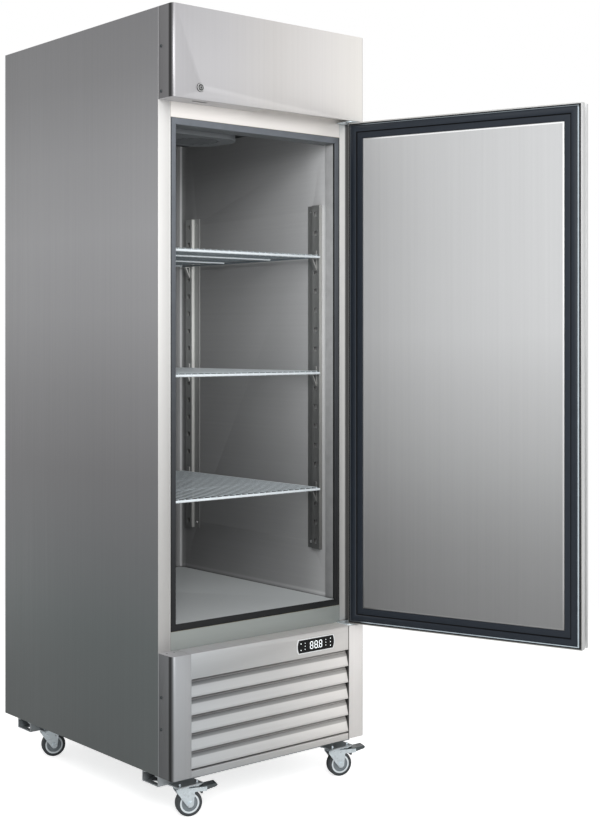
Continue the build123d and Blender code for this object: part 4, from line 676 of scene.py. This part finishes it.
def make_shelf(node):
    """Thin wires over two side rods, the cross rods, and a thick rod under the wires' front bends."""
    s = sizes()
    low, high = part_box(node)
    r, side, cross = s.wire_diameter / 2, s.side_rod / 2, s.cross_rod / 2
    seat = low.z + SHELF_NOSE_DROP
    reach = high.x - side * 2 - r
    number = int(2 * reach // s.wire_pitch) + 1
    first = -(number - 1) * s.wire_pitch / 2
    wire = shelf_wire(first, low, high)
    parts = [wire] + [copy_at(wire, (k * s.wire_pitch, 0, 0)) for k in range(1, number)]
    under = high.z - s.wire_diameter
    for x in (-high.x + side, high.x - side):
        front_end, back_end = (x, low.y + SIDE_ROD_SETBACK, seat + side), (x, high.y, seat + side)
        parts.append(rod("side_rod", side, front_end, back_end, ease=ROD_EASE))

    def across(name, radius, y, seat_share, inset, sides, ease=0.0):
        """A rod across the shelf under the wires, its ends so far inside the shelf's sides."""
        z = under - radius * seat_share
        parts.append(rod(name, radius, (-high.x + inset, y, z), (high.x - inset, y, z), sides, ease))

    for k in range(CROSS_RODS):
        across("cross_rod", cross, low.y + (high.y - low.y) * (k + 1) / (CROSS_RODS + 1), ROD_SEAT, side, 10)
    front = s.front_rod / 2
    across("front_rod", front, low.y + s.wire_diameter + front, FRONT_ROD_SEAT, side * ROD_END, 14, ROD_EASE)
    across("back_rod", cross, high.y - cross, ROD_SEAT, side * ROD_END, 10, THIN_ROD_EASE)
    shelf = join(f"{node}_wires", parts)
    smooth(shelf, 50)
    finish_piece(shelf, "wire", node, (node,), ("wire_shade",))

    def is_shaded(face):
        """A side rod, or the underside of a wire, behind the front."""
        c = face.center
        is_side = abs(c.x) > high.x - s.side_rod
        is_under = face.normal.z < -0.2 and abs(face.normal.y) < 0.3 and c.z > under - s.wire_diameter / 4
        return c.y > low.y + SHELF_NOSE and (is_side or is_under)

    paint(shelf, 1, is_shaded)


# ---------------------------------------------------------------- wheels
TREAD = 0.025                  # width of the tyres
WHEEL_SIDES = 72
HUB_GAP = 0.00005              # between the wheel centre and its tyre
HUB_SHRINK = 0.0012            # from the tyre's side to the wheel centre's, and the slope into the dish
BOSS_SLOPE = 0.001
BOSS_RISE = 0.0018             # of the boss over the ring
AXLE_RADIUS = 0.0045           # a shallow recess in the boss, for the axle's end
AXLE_SLOPE, AXLE_RECESS = 0.0002, 0.0015


def wheel_place(where):
    """Centre and axis of a wheel, from its own joint."""
    joint = JOINTS[f"roll_{where}"]
    axis = Vector(joint["axis"]).normalized()
    turn = axis.to_track_quat("Z", "X").to_matrix().to_4x4()
    return Matrix.Translation(joint["pos_m"]) @ turn


def make_tyre(where, wheel_radius):
    """A tyre with rounded shoulders, open in the middle."""
    s = sizes()
    start()
    bpy.ops.mesh.primitive_cylinder_add(vertices=WHEEL_SIDES, radius=wheel_radius, depth=TREAD)
    tyre = added(f"tyre_{where}")
    pick(tyre, lambda face: abs(face.normal.z) > 0.9)
    bpy.ops.mesh.inset(thickness=s.tyre_thickness, use_even_offset=True)
    bpy.ops.mesh.bridge_edge_loops()
    done()
    pick(tyre, lambda a, b: abs(a.z - b.z) < 1e-6 and min(a.xy.length, b.xy.length) > wheel_radius - A_HAIR, "EDGE")
    bpy.ops.mesh.bevel(offset=s.tyre_shoulder, segments=4, profile=0.5, affect="EDGES")
    done()
    smooth(tyre)
    put(tyre, wheel_place(where))
    finish_piece(tyre, "tyre", f"wheel_{where}", (f"caster_tyre_{where}",))


def make_hub(where, wheel_radius):
    """Wheel centre: a light ring, a dished web and a boss round the axle."""
    s = sizes()
    outer = wheel_radius - s.tyre_thickness - HUB_GAP
    half = TREAD / 2 - HUB_SHRINK
    start()
    bpy.ops.mesh.primitive_cylinder_add(vertices=WHEEL_SIDES, radius=outer, depth=half * 2)
    hub = added(f"wheel_centre_{where}")
    pick(hub, lambda face: abs(face.normal.z) > 0.9)
    for inwards, up in (
            (s.hub_ring, 0.0), (HUB_SHRINK, -s.hub_dish),
            (outer - s.hub_ring - HUB_SHRINK - s.hub_boss - BOSS_SLOPE, 0.0), (BOSS_SLOPE, s.hub_dish + BOSS_RISE),
            (s.hub_boss - AXLE_RADIUS, 0.0), (AXLE_SLOPE, -AXLE_RECESS)):
        bpy.ops.mesh.inset(thickness=inwards, depth=up, use_even_offset=True)
    done()
    smooth(hub)
    finish_piece(hub, "hub", f"wheel_{where}", (f"caster_hub_{where}",), ("hub_ring",))
    paint(hub, 1, lambda face: face.center.xy.length > outer - s.hub_ring and abs(face.normal.z) > 0.9)
    put(hub, wheel_place(where))


# ---------------------------------------------------------------- screws
SCREW_RADIUS, SCREW_RISE = 0.0042, 0.0018
SCREW_ROOT = 0.0004            # how far the head goes into the sheet
CROSS_LENGTH, CROSS_DEPTH = 0.0052, 0.0014


def make_screw():
    """A pan-head screw seen from its head, its foot at the origin and +Z out of the sheet."""
    s = sizes()
    start()
    bpy.ops.mesh.primitive_cylinder_add(
        vertices=24, radius=SCREW_RADIUS, depth=SCREW_RISE + SCREW_ROOT,
        location=(0, 0, SCREW_RISE / 2 - SCREW_ROOT / 2))
    head = added("screw_head")
    pick(head, lambda a, b: min(a.z, b.z) > SCREW_RISE - 1e-5 and min(a.xy.length, b.xy.length) > SCREW_RADIUS - 1e-5,
         "EDGE")
    bpy.ops.mesh.bevel(offset=s.screw_dome, segments=3, affect="EDGES")
    done()
    arms = []
    for turn in (0.0, math.pi / 2):
        start()
        bpy.ops.mesh.primitive_cube_add(size=1.0, location=(0, 0, SCREW_RISE), rotation=(0, 0, turn + math.pi / 4))
        bpy.ops.transform.resize(value=(CROSS_LENGTH, s.screw_slot, CROSS_DEPTH), orient_type="LOCAL")
        arms.append(added("slot"))
    for arm in arms:
        take(head)
        cut = head.modifiers.new("cross", "BOOLEAN")
        cut.operation = "DIFFERENCE"
        cut.object = arm
        bpy.ops.object.modifier_apply(modifier=cut.name)
    take(*arms)
    bpy.ops.object.delete()
    smooth(head, 40)
    return head


def copy_of(node, name):
    """A piece with a copy of a node's mesh."""
    piece = bpy.data.objects.new(name, frame["nodes"][node].data.copy())
    bpy.context.scene.collection.objects.link(piece)
    return piece


def islands(node):
    """Lowest and highest corners of a node's separate solids."""
    merge_doubles(copy_of(node, "loose"))
    bpy.ops.mesh.separate(type="LOOSE")
    done()
    parts = list(bpy.context.selected_objects)
    found = [corners(v.co for v in part.data.vertices) for part in parts]
    take(*parts)
    bpy.ops.object.delete()
    return found


def make_side_screws(name, node, outwards, finish):
    """Screws whose heads face along X, away from the cabinet or into it."""
    pattern_screw = make_screw()
    heads = []
    for low, high in islands(node):
        side = 1 if (low.x + high.x) > 0 else -1
        way = side * outwards
        seat = (high.x if way > 0 else low.x) - way * SCREW_RISE
        place = Matrix.Translation((seat, (low.y + high.y) / 2, (low.z + high.z) / 2))
        heads.append(copy_at(pattern_screw, (0, 0, 0)))
        put(heads[-1], place @ Vector((way, 0, 0)).to_track_quat("Z", "Y").to_matrix().to_4x4())
    take(pattern_screw)
    bpy.ops.object.delete()
    screws = join(name, heads)
    finish_piece(screws, finish, "cabinet", (node,))


# ---------------------------------------------------------------- display
DIGIT_STEP = 3.5               # from one figure to the next, in quarters of its height
SEGMENTS = {                   # place across and up in quarters of the height, and whether the bar lies
    "a": (0, 2, True), "g": (0, 0, True), "d": (0, -2, True),
    "f": (-1, 1, False), "b": (1, 1, False), "e": (-1, -1, False), "c": (1, -1, False),
}
BAR_LENGTH, BAR_WIDTH = 1.9, 0.75       # shares of a quarter of the height, and of the stroke
MARK_THICKNESS = 0.0004
LAMP_RADIUS, KEY_RADIUS = 0.0011, 0.0017
LAMPS = (                      # place of the small lamps, as shares of the display from its middle
    (-0.30, 0.24), (-0.30, 0.0), (-0.30, -0.24), (0.27, 0.24), (0.27, 0.02), (0.27, -0.20),
)
KEYS = ((-0.41, 0.24), (-0.41, -0.26), (0.40, 0.28), (0.40, 0.0), (0.40, -0.28))


def flat_mark(name, sides, radius, x, y, z, stretch=(1.0, 1.0)):
    """A flat mark with so many sides, just proud of the display."""
    start()
    bpy.ops.mesh.primitive_cylinder_add(
        vertices=sides, radius=radius, depth=MARK_THICKNESS, location=(x, y, z), rotation=(math.pi / 2, 0, 0))
    bpy.context.active_object.scale = (*stretch, 1.0)
    return added(name)


def make_display():
    """Three figures, a point, the small lamps and the key marks."""
    s = sizes()
    low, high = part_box("controller_display")
    y = low.y - MARK_THICKNESS / 4
    width, height = high.x - low.x, high.z - low.z
    across, up = (low.x + high.x) / 2, (low.z + high.z) / 2
    half = s.digit_height / 4
    length, stroke = half * BAR_LENGTH, s.digit_stroke * BAR_WIDTH
    marks = []
    for k in (-1, 0, 1):
        for side, rise, lies in SEGMENTS.values():
            stretch = (length, stroke) if lies else (stroke, length)
            marks.append(flat_mark(
                "bar", 8, 0.5, across + (k * DIGIT_STEP + side) * half, y, up + rise * half, stretch))
    marks.append(flat_mark("point", 12, s.digit_stroke * 0.4, across + (DIGIT_STEP / 2) * half, y, up - half * 2))
    for name, sides, radius, places in (("lamp", 12, LAMP_RADIUS, LAMPS), ("key", 4, KEY_RADIUS, KEYS)):
        for side, rise in places:
            marks.append(flat_mark(name, sides, radius, across + side * width, y, up + rise * height))
    figures = join("display_figures", marks)
    finish_piece(figures, "figure", "cabinet")


# ---------------------------------------------------------------- door gasket
def shut_box(node):
    """A door node's lowest and highest corner with the door turned shut."""
    return corners(SHUT @ v.co for v in frame["nodes"][node].data.vertices)


FRAME_FOOT = 0.0004            # height of the frame's outer side before its first step


def moulded_frame(name, low, high, foot, steps):
    """A mitred frame facing +Y, stepped inwards: each step goes in by so much and up by so much.

    The middle of its front and all of its back are taken out, and the two openings are bridged."""
    start()
    centre = ((low.x + high.x) / 2, foot, (low.z + high.z) / 2)
    bpy.ops.mesh.primitive_plane_add(size=1.0, location=centre, rotation=(-math.pi / 2, 0, 0))
    bpy.context.active_object.scale = (high.x - low.x, high.z - low.z, 1.0)
    piece = added(name)
    pick(piece, lambda face: True)
    bpy.ops.mesh.extrude_region_move(TRANSFORM_OT_translate={"value": (0, FRAME_FOOT, 0)})
    for inwards, up in steps:
        bpy.ops.mesh.inset(thickness=inwards, depth=up, use_even_offset=True)
    bpy.ops.mesh.delete(type="FACE")
    done()
    pick(piece, lambda face: face.center.y < foot + A_HAIR)
    bpy.ops.mesh.delete(type="FACE")
    bpy.ops.mesh.select_mode(type="EDGE")
    bpy.ops.mesh.select_all(action="DESELECT")
    bpy.ops.mesh.select_non_manifold(extend=False)
    bpy.ops.mesh.bridge_edge_loops()
    bpy.ops.mesh.select_all(action="SELECT")
    bpy.ops.mesh.normals_make_consistent(inside=False)
    done()
    return piece


GASKET_STEPS = (               # how far in and how far up each strip of the gasket's outline goes
    (0.0006, 0.0030), (0.0030, 0.0004), (0.0008, 0.0022), (0.0022, 0.0004), (0.0010, -0.0010),   # lip and ridge
    (0.0026, 0.0022), (0.0110, 0.0004), (0.0030, -0.0016),                                       # bellows
    (0.0010, -0.0034), (0.0018, 0.0002),                                                         # groove
    (0.0010, 0.0003), (0.0142, 0.0002), (0.0014, -0.0020),                                       # dart
)
GASKET_HIGHLIGHT_STRIPS = ((0.0038, 0.0064),)                     # how far in the painted highlight on the ridge lies
# how far in the painted shade of the outer lip and the groove lies
GASKET_SHADE_STRIPS = ((0.0000, 0.0037), (0.0242, 0.0268))


def make_gasket():
    """Outer lip, ridge, bellows, groove, and the low dart along the inner panel; a painted highlight on the ridge,
    painted shade on the outer lip and in the groove.
    """
    low, high = shut_box("door_gasket")
    gasket = moulded_frame("gasket", low, high, low.y, GASKET_STEPS)
    smooth(gasket, 50)
    finish_piece(gasket, "gasket", "door", ("door_gasket",), ("gasket_highlight", "gasket_groove_shade"))

    def lies_in(strips, c):
        """Whether a point is so far in from the gasket's outside that it lies in one of the strips."""
        inwards = min(c.x - low.x, high.x - c.x, c.z - low.z, high.z - c.z)
        return any(first <= inwards < last for first, last in strips)

    paint(gasket, 1, lambda face: lies_in(GASKET_HIGHLIGHT_STRIPS, face.center))
    paint(gasket, 2, lambda face: lies_in(GASKET_SHADE_STRIPS, face.center))
    put(gasket, SHUT.inverted())


# ---------------------------------------------------------------- folded sheets with eased edges
EASED = {                      # node: finish, finish of the faces that look to the front, slot, body
    "header_panel": ("header", "header", "stainless_front", "cabinet"),
    "lower_post_left": ("posts", "posts", "stainless_front", "cabinet"),
    "lower_post_right": ("posts", "posts", "stainless_front", "cabinet"),
    "grille_panel": ("louvres", "louvres", "stainless_front", "cabinet"),
    "side_panel_left": ("side", "stile", "stainless_side", "cabinet"),
    "side_panel_right": ("side", "stile", "stainless_side", "cabinet"),
    "inner_liner": ("liner", "liner_back", "stainless_liner", "cabinet"),
    "shelf_standards": ("standard", "standard_fold", "stainless_liner", "cabinet"),
    "shelf_clips": ("standard", "standard_fold", "stainless_liner", "cabinet"),
    "controller_body": ("bezel", "bezel", "control_white", "cabinet"),
    "breaker_strip": ("breaker_return", "breaker", "breaker_plastic", "cabinet"),
    "hinge_brackets": ("plated", "plated", "zinc_plated", "cabinet"),
    "lock_housing": ("chrome", "chrome", "lock_chrome", "cabinet"),
    "door_skin": ("door", "door", "stainless_front", "door"),
    "door_inner_panel": ("door_liner", "door_liner", "stainless_door_inner", "door"),
}
SMALL_FACE = 0.000012          # square metres; slot and hole walls are smaller and keep the first finish


def ease_sheet(node, finish, front, slot, body):
    """A copy of a node with its doubles merged and its sharp edges eased."""
    piece = copy_of(node, f"{node}_eased")
    merge_doubles(piece)
    bpy.ops.mesh.dissolve_limited(angle_limit=math.radians(0.5))
    done()
    if node == "door_inner_panel":
        roll_panel_edge(piece)
    bevel = piece.modifiers.new("eased_edges", "BEVEL")
    bevel.width = sizes().sheet_edge / 2
    bevel.segments = 2
    bevel.limit_method = "ANGLE"
    bevel.angle_limit = math.radians(40)
    bpy.ops.object.modifier_apply(modifier=bevel.name)
    smooth(piece, 30)
    finish_piece(piece, finish, body, (node,), () if front == finish else (front,))
    if front != finish:
        paint(piece, 1, lambda face: face.normal.y < -0.5 and face.area > SMALL_FACE)
    return piece


def panel_top(piece):
    """How far the door's raised panel stands towards the cabinet with the door shut."""
    return max((SHUT @ v.co).y for v in piece.data.vertices)


def roll_panel_edge(piece):
    """Round the edge of the door's raised panel."""
    top = panel_top(piece) - A_HAIR
    pick(piece, lambda a, b: min((SHUT @ a).y, (SHUT @ b).y) > top, "EDGE")
    bpy.ops.mesh.bevel(offset=sizes().panel_edge, segments=3, affect="EDGES")
    done()
    # A ring of the flat face inside the rounding, which carries the painted highlight too.
    pick(piece, lambda face: min((SHUT @ piece.data.vertices[i].co).y for i in face.vertices) > top)
    bpy.ops.mesh.inset(thickness=sizes().panel_edge, use_even_offset=True)
    done()


def brighten_panel_edge(piece):
    """The rolled edge of the raised panel gets a painted highlight."""
    piece.data.materials.append(FINISHES["door_liner_edge_highlight"])
    top = panel_top(piece)
    panel = max(piece.data.polygons, key=lambda face: face.area if (SHUT @ face.center).y > top - A_HAIR else 0.0)
    rolled = top - sizes().panel_edge * 1.2
    paint(piece, 1, lambda face: (SHUT @ face.center).y > rolled and face.index != panel.index)


def even_outside(piece):
    """The door skin's outer face and edges have an even sheen; only its inner rim carries painted shade near the
    hinges.
    """
    piece.data.materials.append(FINISHES["door_outside"])
    paint(piece, 1, lambda face: (SHUT.to_3x3() @ face.normal).y < 0.3)


def level_faces(piece, finish, way):
    """Faces that look up (1) or down (-1) have a finish of their own."""
    piece.data.materials.append(FINISHES[finish])
    paint(piece, len(piece.data.materials) - 1, lambda face: face.normal.z * way > 0.7)


# ---------------------------------------------------------------- operators
class FREEZER_OT_finishes(bpy.types.Operator):
    """Give every node of the frame its finish"""

    bl_idname = "freezer.finishes"
    bl_label = "Finishes"

    def execute(self, context):
        FINISHES.update(make_finishes())
        for finish, nodes in WORN_BY.items():
            for node in nodes:
                for slot in frame["nodes"][node].material_slots:
                    slot.material = FINISHES[finish]
        return {"FINISHED"}


class FREEZER_OT_sheets(bpy.types.Operator):
    """Ease the edges of the sheets and small housings that are seen from near"""

    bl_idname = "freezer.sheets"
    bl_label = "Eased sheets"

    def execute(self, context):
        pieces = {node: ease_sheet(node, *worn) for node, worn in EASED.items()}
        brighten_panel_edge(pieces["door_inner_panel"])
        even_outside(pieces["door_skin"])
        level_faces(pieces["inner_liner"], "liner_floor", 1)
        # The liner's downward faces take the shroud's finish, with its painted light and shade.
        level_faces(pieces["inner_liner"], "shroud", -1)
        level_faces(pieces["header_panel"], "header_under", -1)
        for node in ("lower_post_left", "lower_post_right", "grille_panel"):
            level_faces(pieces[node], "header_under", 1)
        return {"FINISHED"}


class FREEZER_OT_shelves(bpy.types.Operator):
    """Make the three wire shelves"""

    bl_idname = "freezer.shelves"
    bl_label = "Wire shelves"

    def execute(self, context):
        for node in SHELVES:
            make_shelf(node)
        return {"FINISHED"}


class FREEZER_OT_wheels(bpy.types.Operator):
    """Make the tyres and wheel centres of the four casters"""

    bl_idname = "freezer.wheels"
    bl_label = "Wheels"

    def execute(self, context):
        for where in CASTERS:
            radius = JOINTS[f"roll_{where}"]["pos_m"][2]
            make_tyre(where, radius)
            make_hub(where, radius)
        return {"FINISHED"}


class FREEZER_OT_screws(bpy.types.Operator):
    """Make the cross-head screws of the front's cheeks and of the shelf standards"""

    bl_idname = "freezer.screws"
    bl_label = "Screws"

    def execute(self, context):
        make_side_screws("cheek_screw_heads", "cheek_screws", 1, "dark_screw")
        make_side_screws("standard_screw_heads", "standard_screws", -1, "screw")
        return {"FINISHED"}


class FREEZER_OT_display(bpy.types.Operator):
    """Make the figures, lamps and key marks of the temperature display"""

    bl_idname = "freezer.display"
    bl_label = "Display figures"

    def execute(self, context):
        make_display()
        return {"FINISHED"}


class FREEZER_OT_gasket(bpy.types.Operator):
    """Make the door's gasket"""

    bl_idname = "freezer.gasket"
    bl_label = "Door gasket"

    def execute(self, context):
        make_gasket()
        return {"FINISHED"}


class FREEZER_OT_stage(bpy.types.Operator):
    """Make the floor, the light and the camera"""

    bl_idname = "freezer.stage"
    bl_label = "Stage"

    def execute(self, context):
        make_floor()
        make_light()
        make_camera()
        context.scene.view_settings.view_transform = "Standard"
        return {"FINISHED"}


# ---------------------------------------------------------------- stage
FLOOR_MIDDLE, FLOOR_RADIUS = (0.2, 0.2, 0), 6.0
FLOOR_GLOW = 0.7               # how far the camera sees the floor lifted towards white
FADE_MIDDLE, FADE_SCALE = (-0.05, -0.05, 0), (0.32, 0.32, 0.32)
FADE_CLEAR, FADE_FULL = 0.05, 0.55      # from clear at the rim to full in the middle
SOFT_LIGHT, SEEN_LIGHT = 0.5, 1.0       # of the world on the object, and as the background is seen
STUDIO_LIGHTS = (              # name, place, what it is aimed at, size and power
    ("key", (-2.2, -3.4, 2.7), (0.0, 0.3, 1.0), 1.8, 100.0),
    ("fill", (-0.9, -3.6, 1.5), (0.2, 0.4, 1.5), 1.6, 16.0),
)
CAMERA_PLACE, CAMERA_TURN = (-2.42542, -2.93297, 1.24311), -39.1
CAMERA_LENS, CAMERA_SENSOR = 60.77, 36
CAMERA_SHIFT = (0.0641, -0.0850)


def make_floor():
    """A pale floor that shows the object's shadow and fades out to the background."""
    start()
    bpy.ops.mesh.primitive_circle_add(vertices=96, radius=FLOOR_RADIUS, fill_type="NGON", location=FLOOR_MIDDLE)
    floor = added("floor")
    material = plain_finish("floor", colours().floor, 0.0, 0.8)
    tree = material.node_tree
    shader = tree.nodes["Principled BSDF"]
    shader.inputs["Emission Color"].default_value = (1, 1, 1, 1)
    path = tree.nodes.new("ShaderNodeLightPath")
    seen = tree.nodes.new("ShaderNodeMapRange")
    seen.inputs["To Max"].default_value = FLOOR_GLOW
    tree.links.new(path.outputs["Is Camera Ray"], seen.inputs["Value"])
    tree.links.new(seen.outputs["Result"], shader.inputs["Emission Strength"])
    output = tree.nodes["Material Output"]
    place = tree.nodes.new("ShaderNodeTexCoord")
    mapping = tree.nodes.new("ShaderNodeMapping")
    mapping.inputs["Location"].default_value = FADE_MIDDLE
    mapping.inputs["Scale"].default_value = FADE_SCALE
    fade = tree.nodes.new("ShaderNodeTexGradient")
    fade.gradient_type = "SPHERICAL"
    ramp = tree.nodes.new("ShaderNodeValToRGB")
    ramp.color_ramp.elements[0].position = FADE_CLEAR
    ramp.color_ramp.elements[1].position = FADE_FULL
    clear = tree.nodes.new("ShaderNodeBsdfTransparent")
    mix = tree.nodes.new("ShaderNodeMixShader")
    tree.links.new(place.outputs["Object"], mapping.inputs["Vector"])
    tree.links.new(mapping.outputs["Vector"], fade.inputs["Vector"])
    tree.links.new(fade.outputs["Color"], ramp.inputs["Fac"])
    tree.links.new(ramp.outputs["Color"], mix.inputs["Fac"])
    tree.links.new(clear.outputs["BSDF"], mix.inputs[1])
    tree.links.new(shader.outputs["BSDF"], mix.inputs[2])
    tree.links.new(mix.outputs["Shader"], output.inputs["Surface"])
    floor.data.materials.append(material)


def make_light():
    """A white world, softer on the object than it is seen, and two square lamps."""
    world = bpy.data.worlds.new("studio")
    bpy.context.scene.world = world
    world.use_nodes = True
    tree = world.node_tree
    background = tree.nodes["Background"]
    background.inputs["Color"].default_value = (1, 1, 1, 1)
    path = tree.nodes.new("ShaderNodeLightPath")
    seen = path.outputs["Is Camera Ray"]
    for ray in ("Is Glossy Ray", "Is Transmission Ray"):
        either = tree.nodes.new("ShaderNodeMath")
        either.operation = "MAXIMUM"
        tree.links.new(seen, either.inputs[0])
        tree.links.new(path.outputs[ray], either.inputs[1])
        seen = either.outputs["Value"]
    strength = tree.nodes.new("ShaderNodeMapRange")
    strength.inputs["To Min"].default_value = SOFT_LIGHT
    strength.inputs["To Max"].default_value = SEEN_LIGHT
    tree.links.new(seen, strength.inputs["Value"])
    tree.links.new(strength.outputs["Result"], background.inputs["Strength"])
    for light in STUDIO_LIGHTS:
        lamp(*light)


def lamp(name, place, target, size, power):
    """A square lamp aimed at a point."""
    start()
    aim = (Vector(target) - Vector(place)).to_track_quat("-Z", "Y")
    bpy.ops.object.light_add(type="AREA", location=place, rotation=aim.to_euler())
    light = bpy.context.active_object
    light.name = name
    light.data.shape = "SQUARE"
    light.data.size = size
    light.data.energy = power


def make_camera():
    """A level camera that looks at the open freezer from its left."""
    start()
    bpy.ops.object.camera_add(location=CAMERA_PLACE, rotation=(math.pi / 2, 0, math.radians(CAMERA_TURN)))
    camera = bpy.context.active_object
    camera.name = "camera"
    camera.data.lens = CAMERA_LENS
    camera.data.sensor_width = CAMERA_SENSOR
    camera.data.shift_x, camera.data.shift_y = CAMERA_SHIFT
    bpy.context.scene.camera = camera


# ---------------------------------------------------------------- panel and registration
class FREEZER_PT_panel(bpy.types.Panel):
    """The freezer's makers, colours and sizes"""

    bl_idname = "FREEZER_PT_panel"
    bl_label = "Upright freezer"
    bl_space_type = "VIEW_3D"
    bl_region_type = "UI"
    bl_category = "Freezer"

    def draw(self, context):
        for maker in MAKERS:
            self.layout.operator(maker.bl_idname)
        for group in (context.scene.freezer_sizes, context.scene.freezer_colours):
            column = self.layout.column()
            for name in group.bl_rna.properties.keys():
                if name not in ("rna_type", "name"):
                    column.prop(group, name)


MAKERS = (
    FREEZER_OT_finishes, FREEZER_OT_sheets, FREEZER_OT_shelves, FREEZER_OT_wheels, FREEZER_OT_screws,
    FREEZER_OT_display, FREEZER_OT_gasket, FREEZER_OT_stage,
)
CLASSES = (FreezerSizes, FreezerColours, *MAKERS, FREEZER_PT_panel)


def register():
    for cls in CLASSES:
        bpy.utils.register_class(cls)
    bpy.types.Scene.freezer_sizes = bpy.props.PointerProperty(type=FreezerSizes)
    bpy.types.Scene.freezer_colours = bpy.props.PointerProperty(type=FreezerColours)


def unregister():
    del bpy.types.Scene.freezer_colours
    del bpy.types.Scene.freezer_sizes
    for cls in reversed(CLASSES):
        bpy.utils.unregister_class(cls)


def main():
    register()
    bpy.ops.freezer.finishes()
    bpy.ops.freezer.sheets()
    bpy.ops.freezer.shelves()
    bpy.ops.freezer.wheels()
    bpy.ops.freezer.screws()
    bpy.ops.freezer.display()
    bpy.ops.freezer.gasket()
    bpy.ops.freezer.stage()


if __name__ == "__main__":
    main()
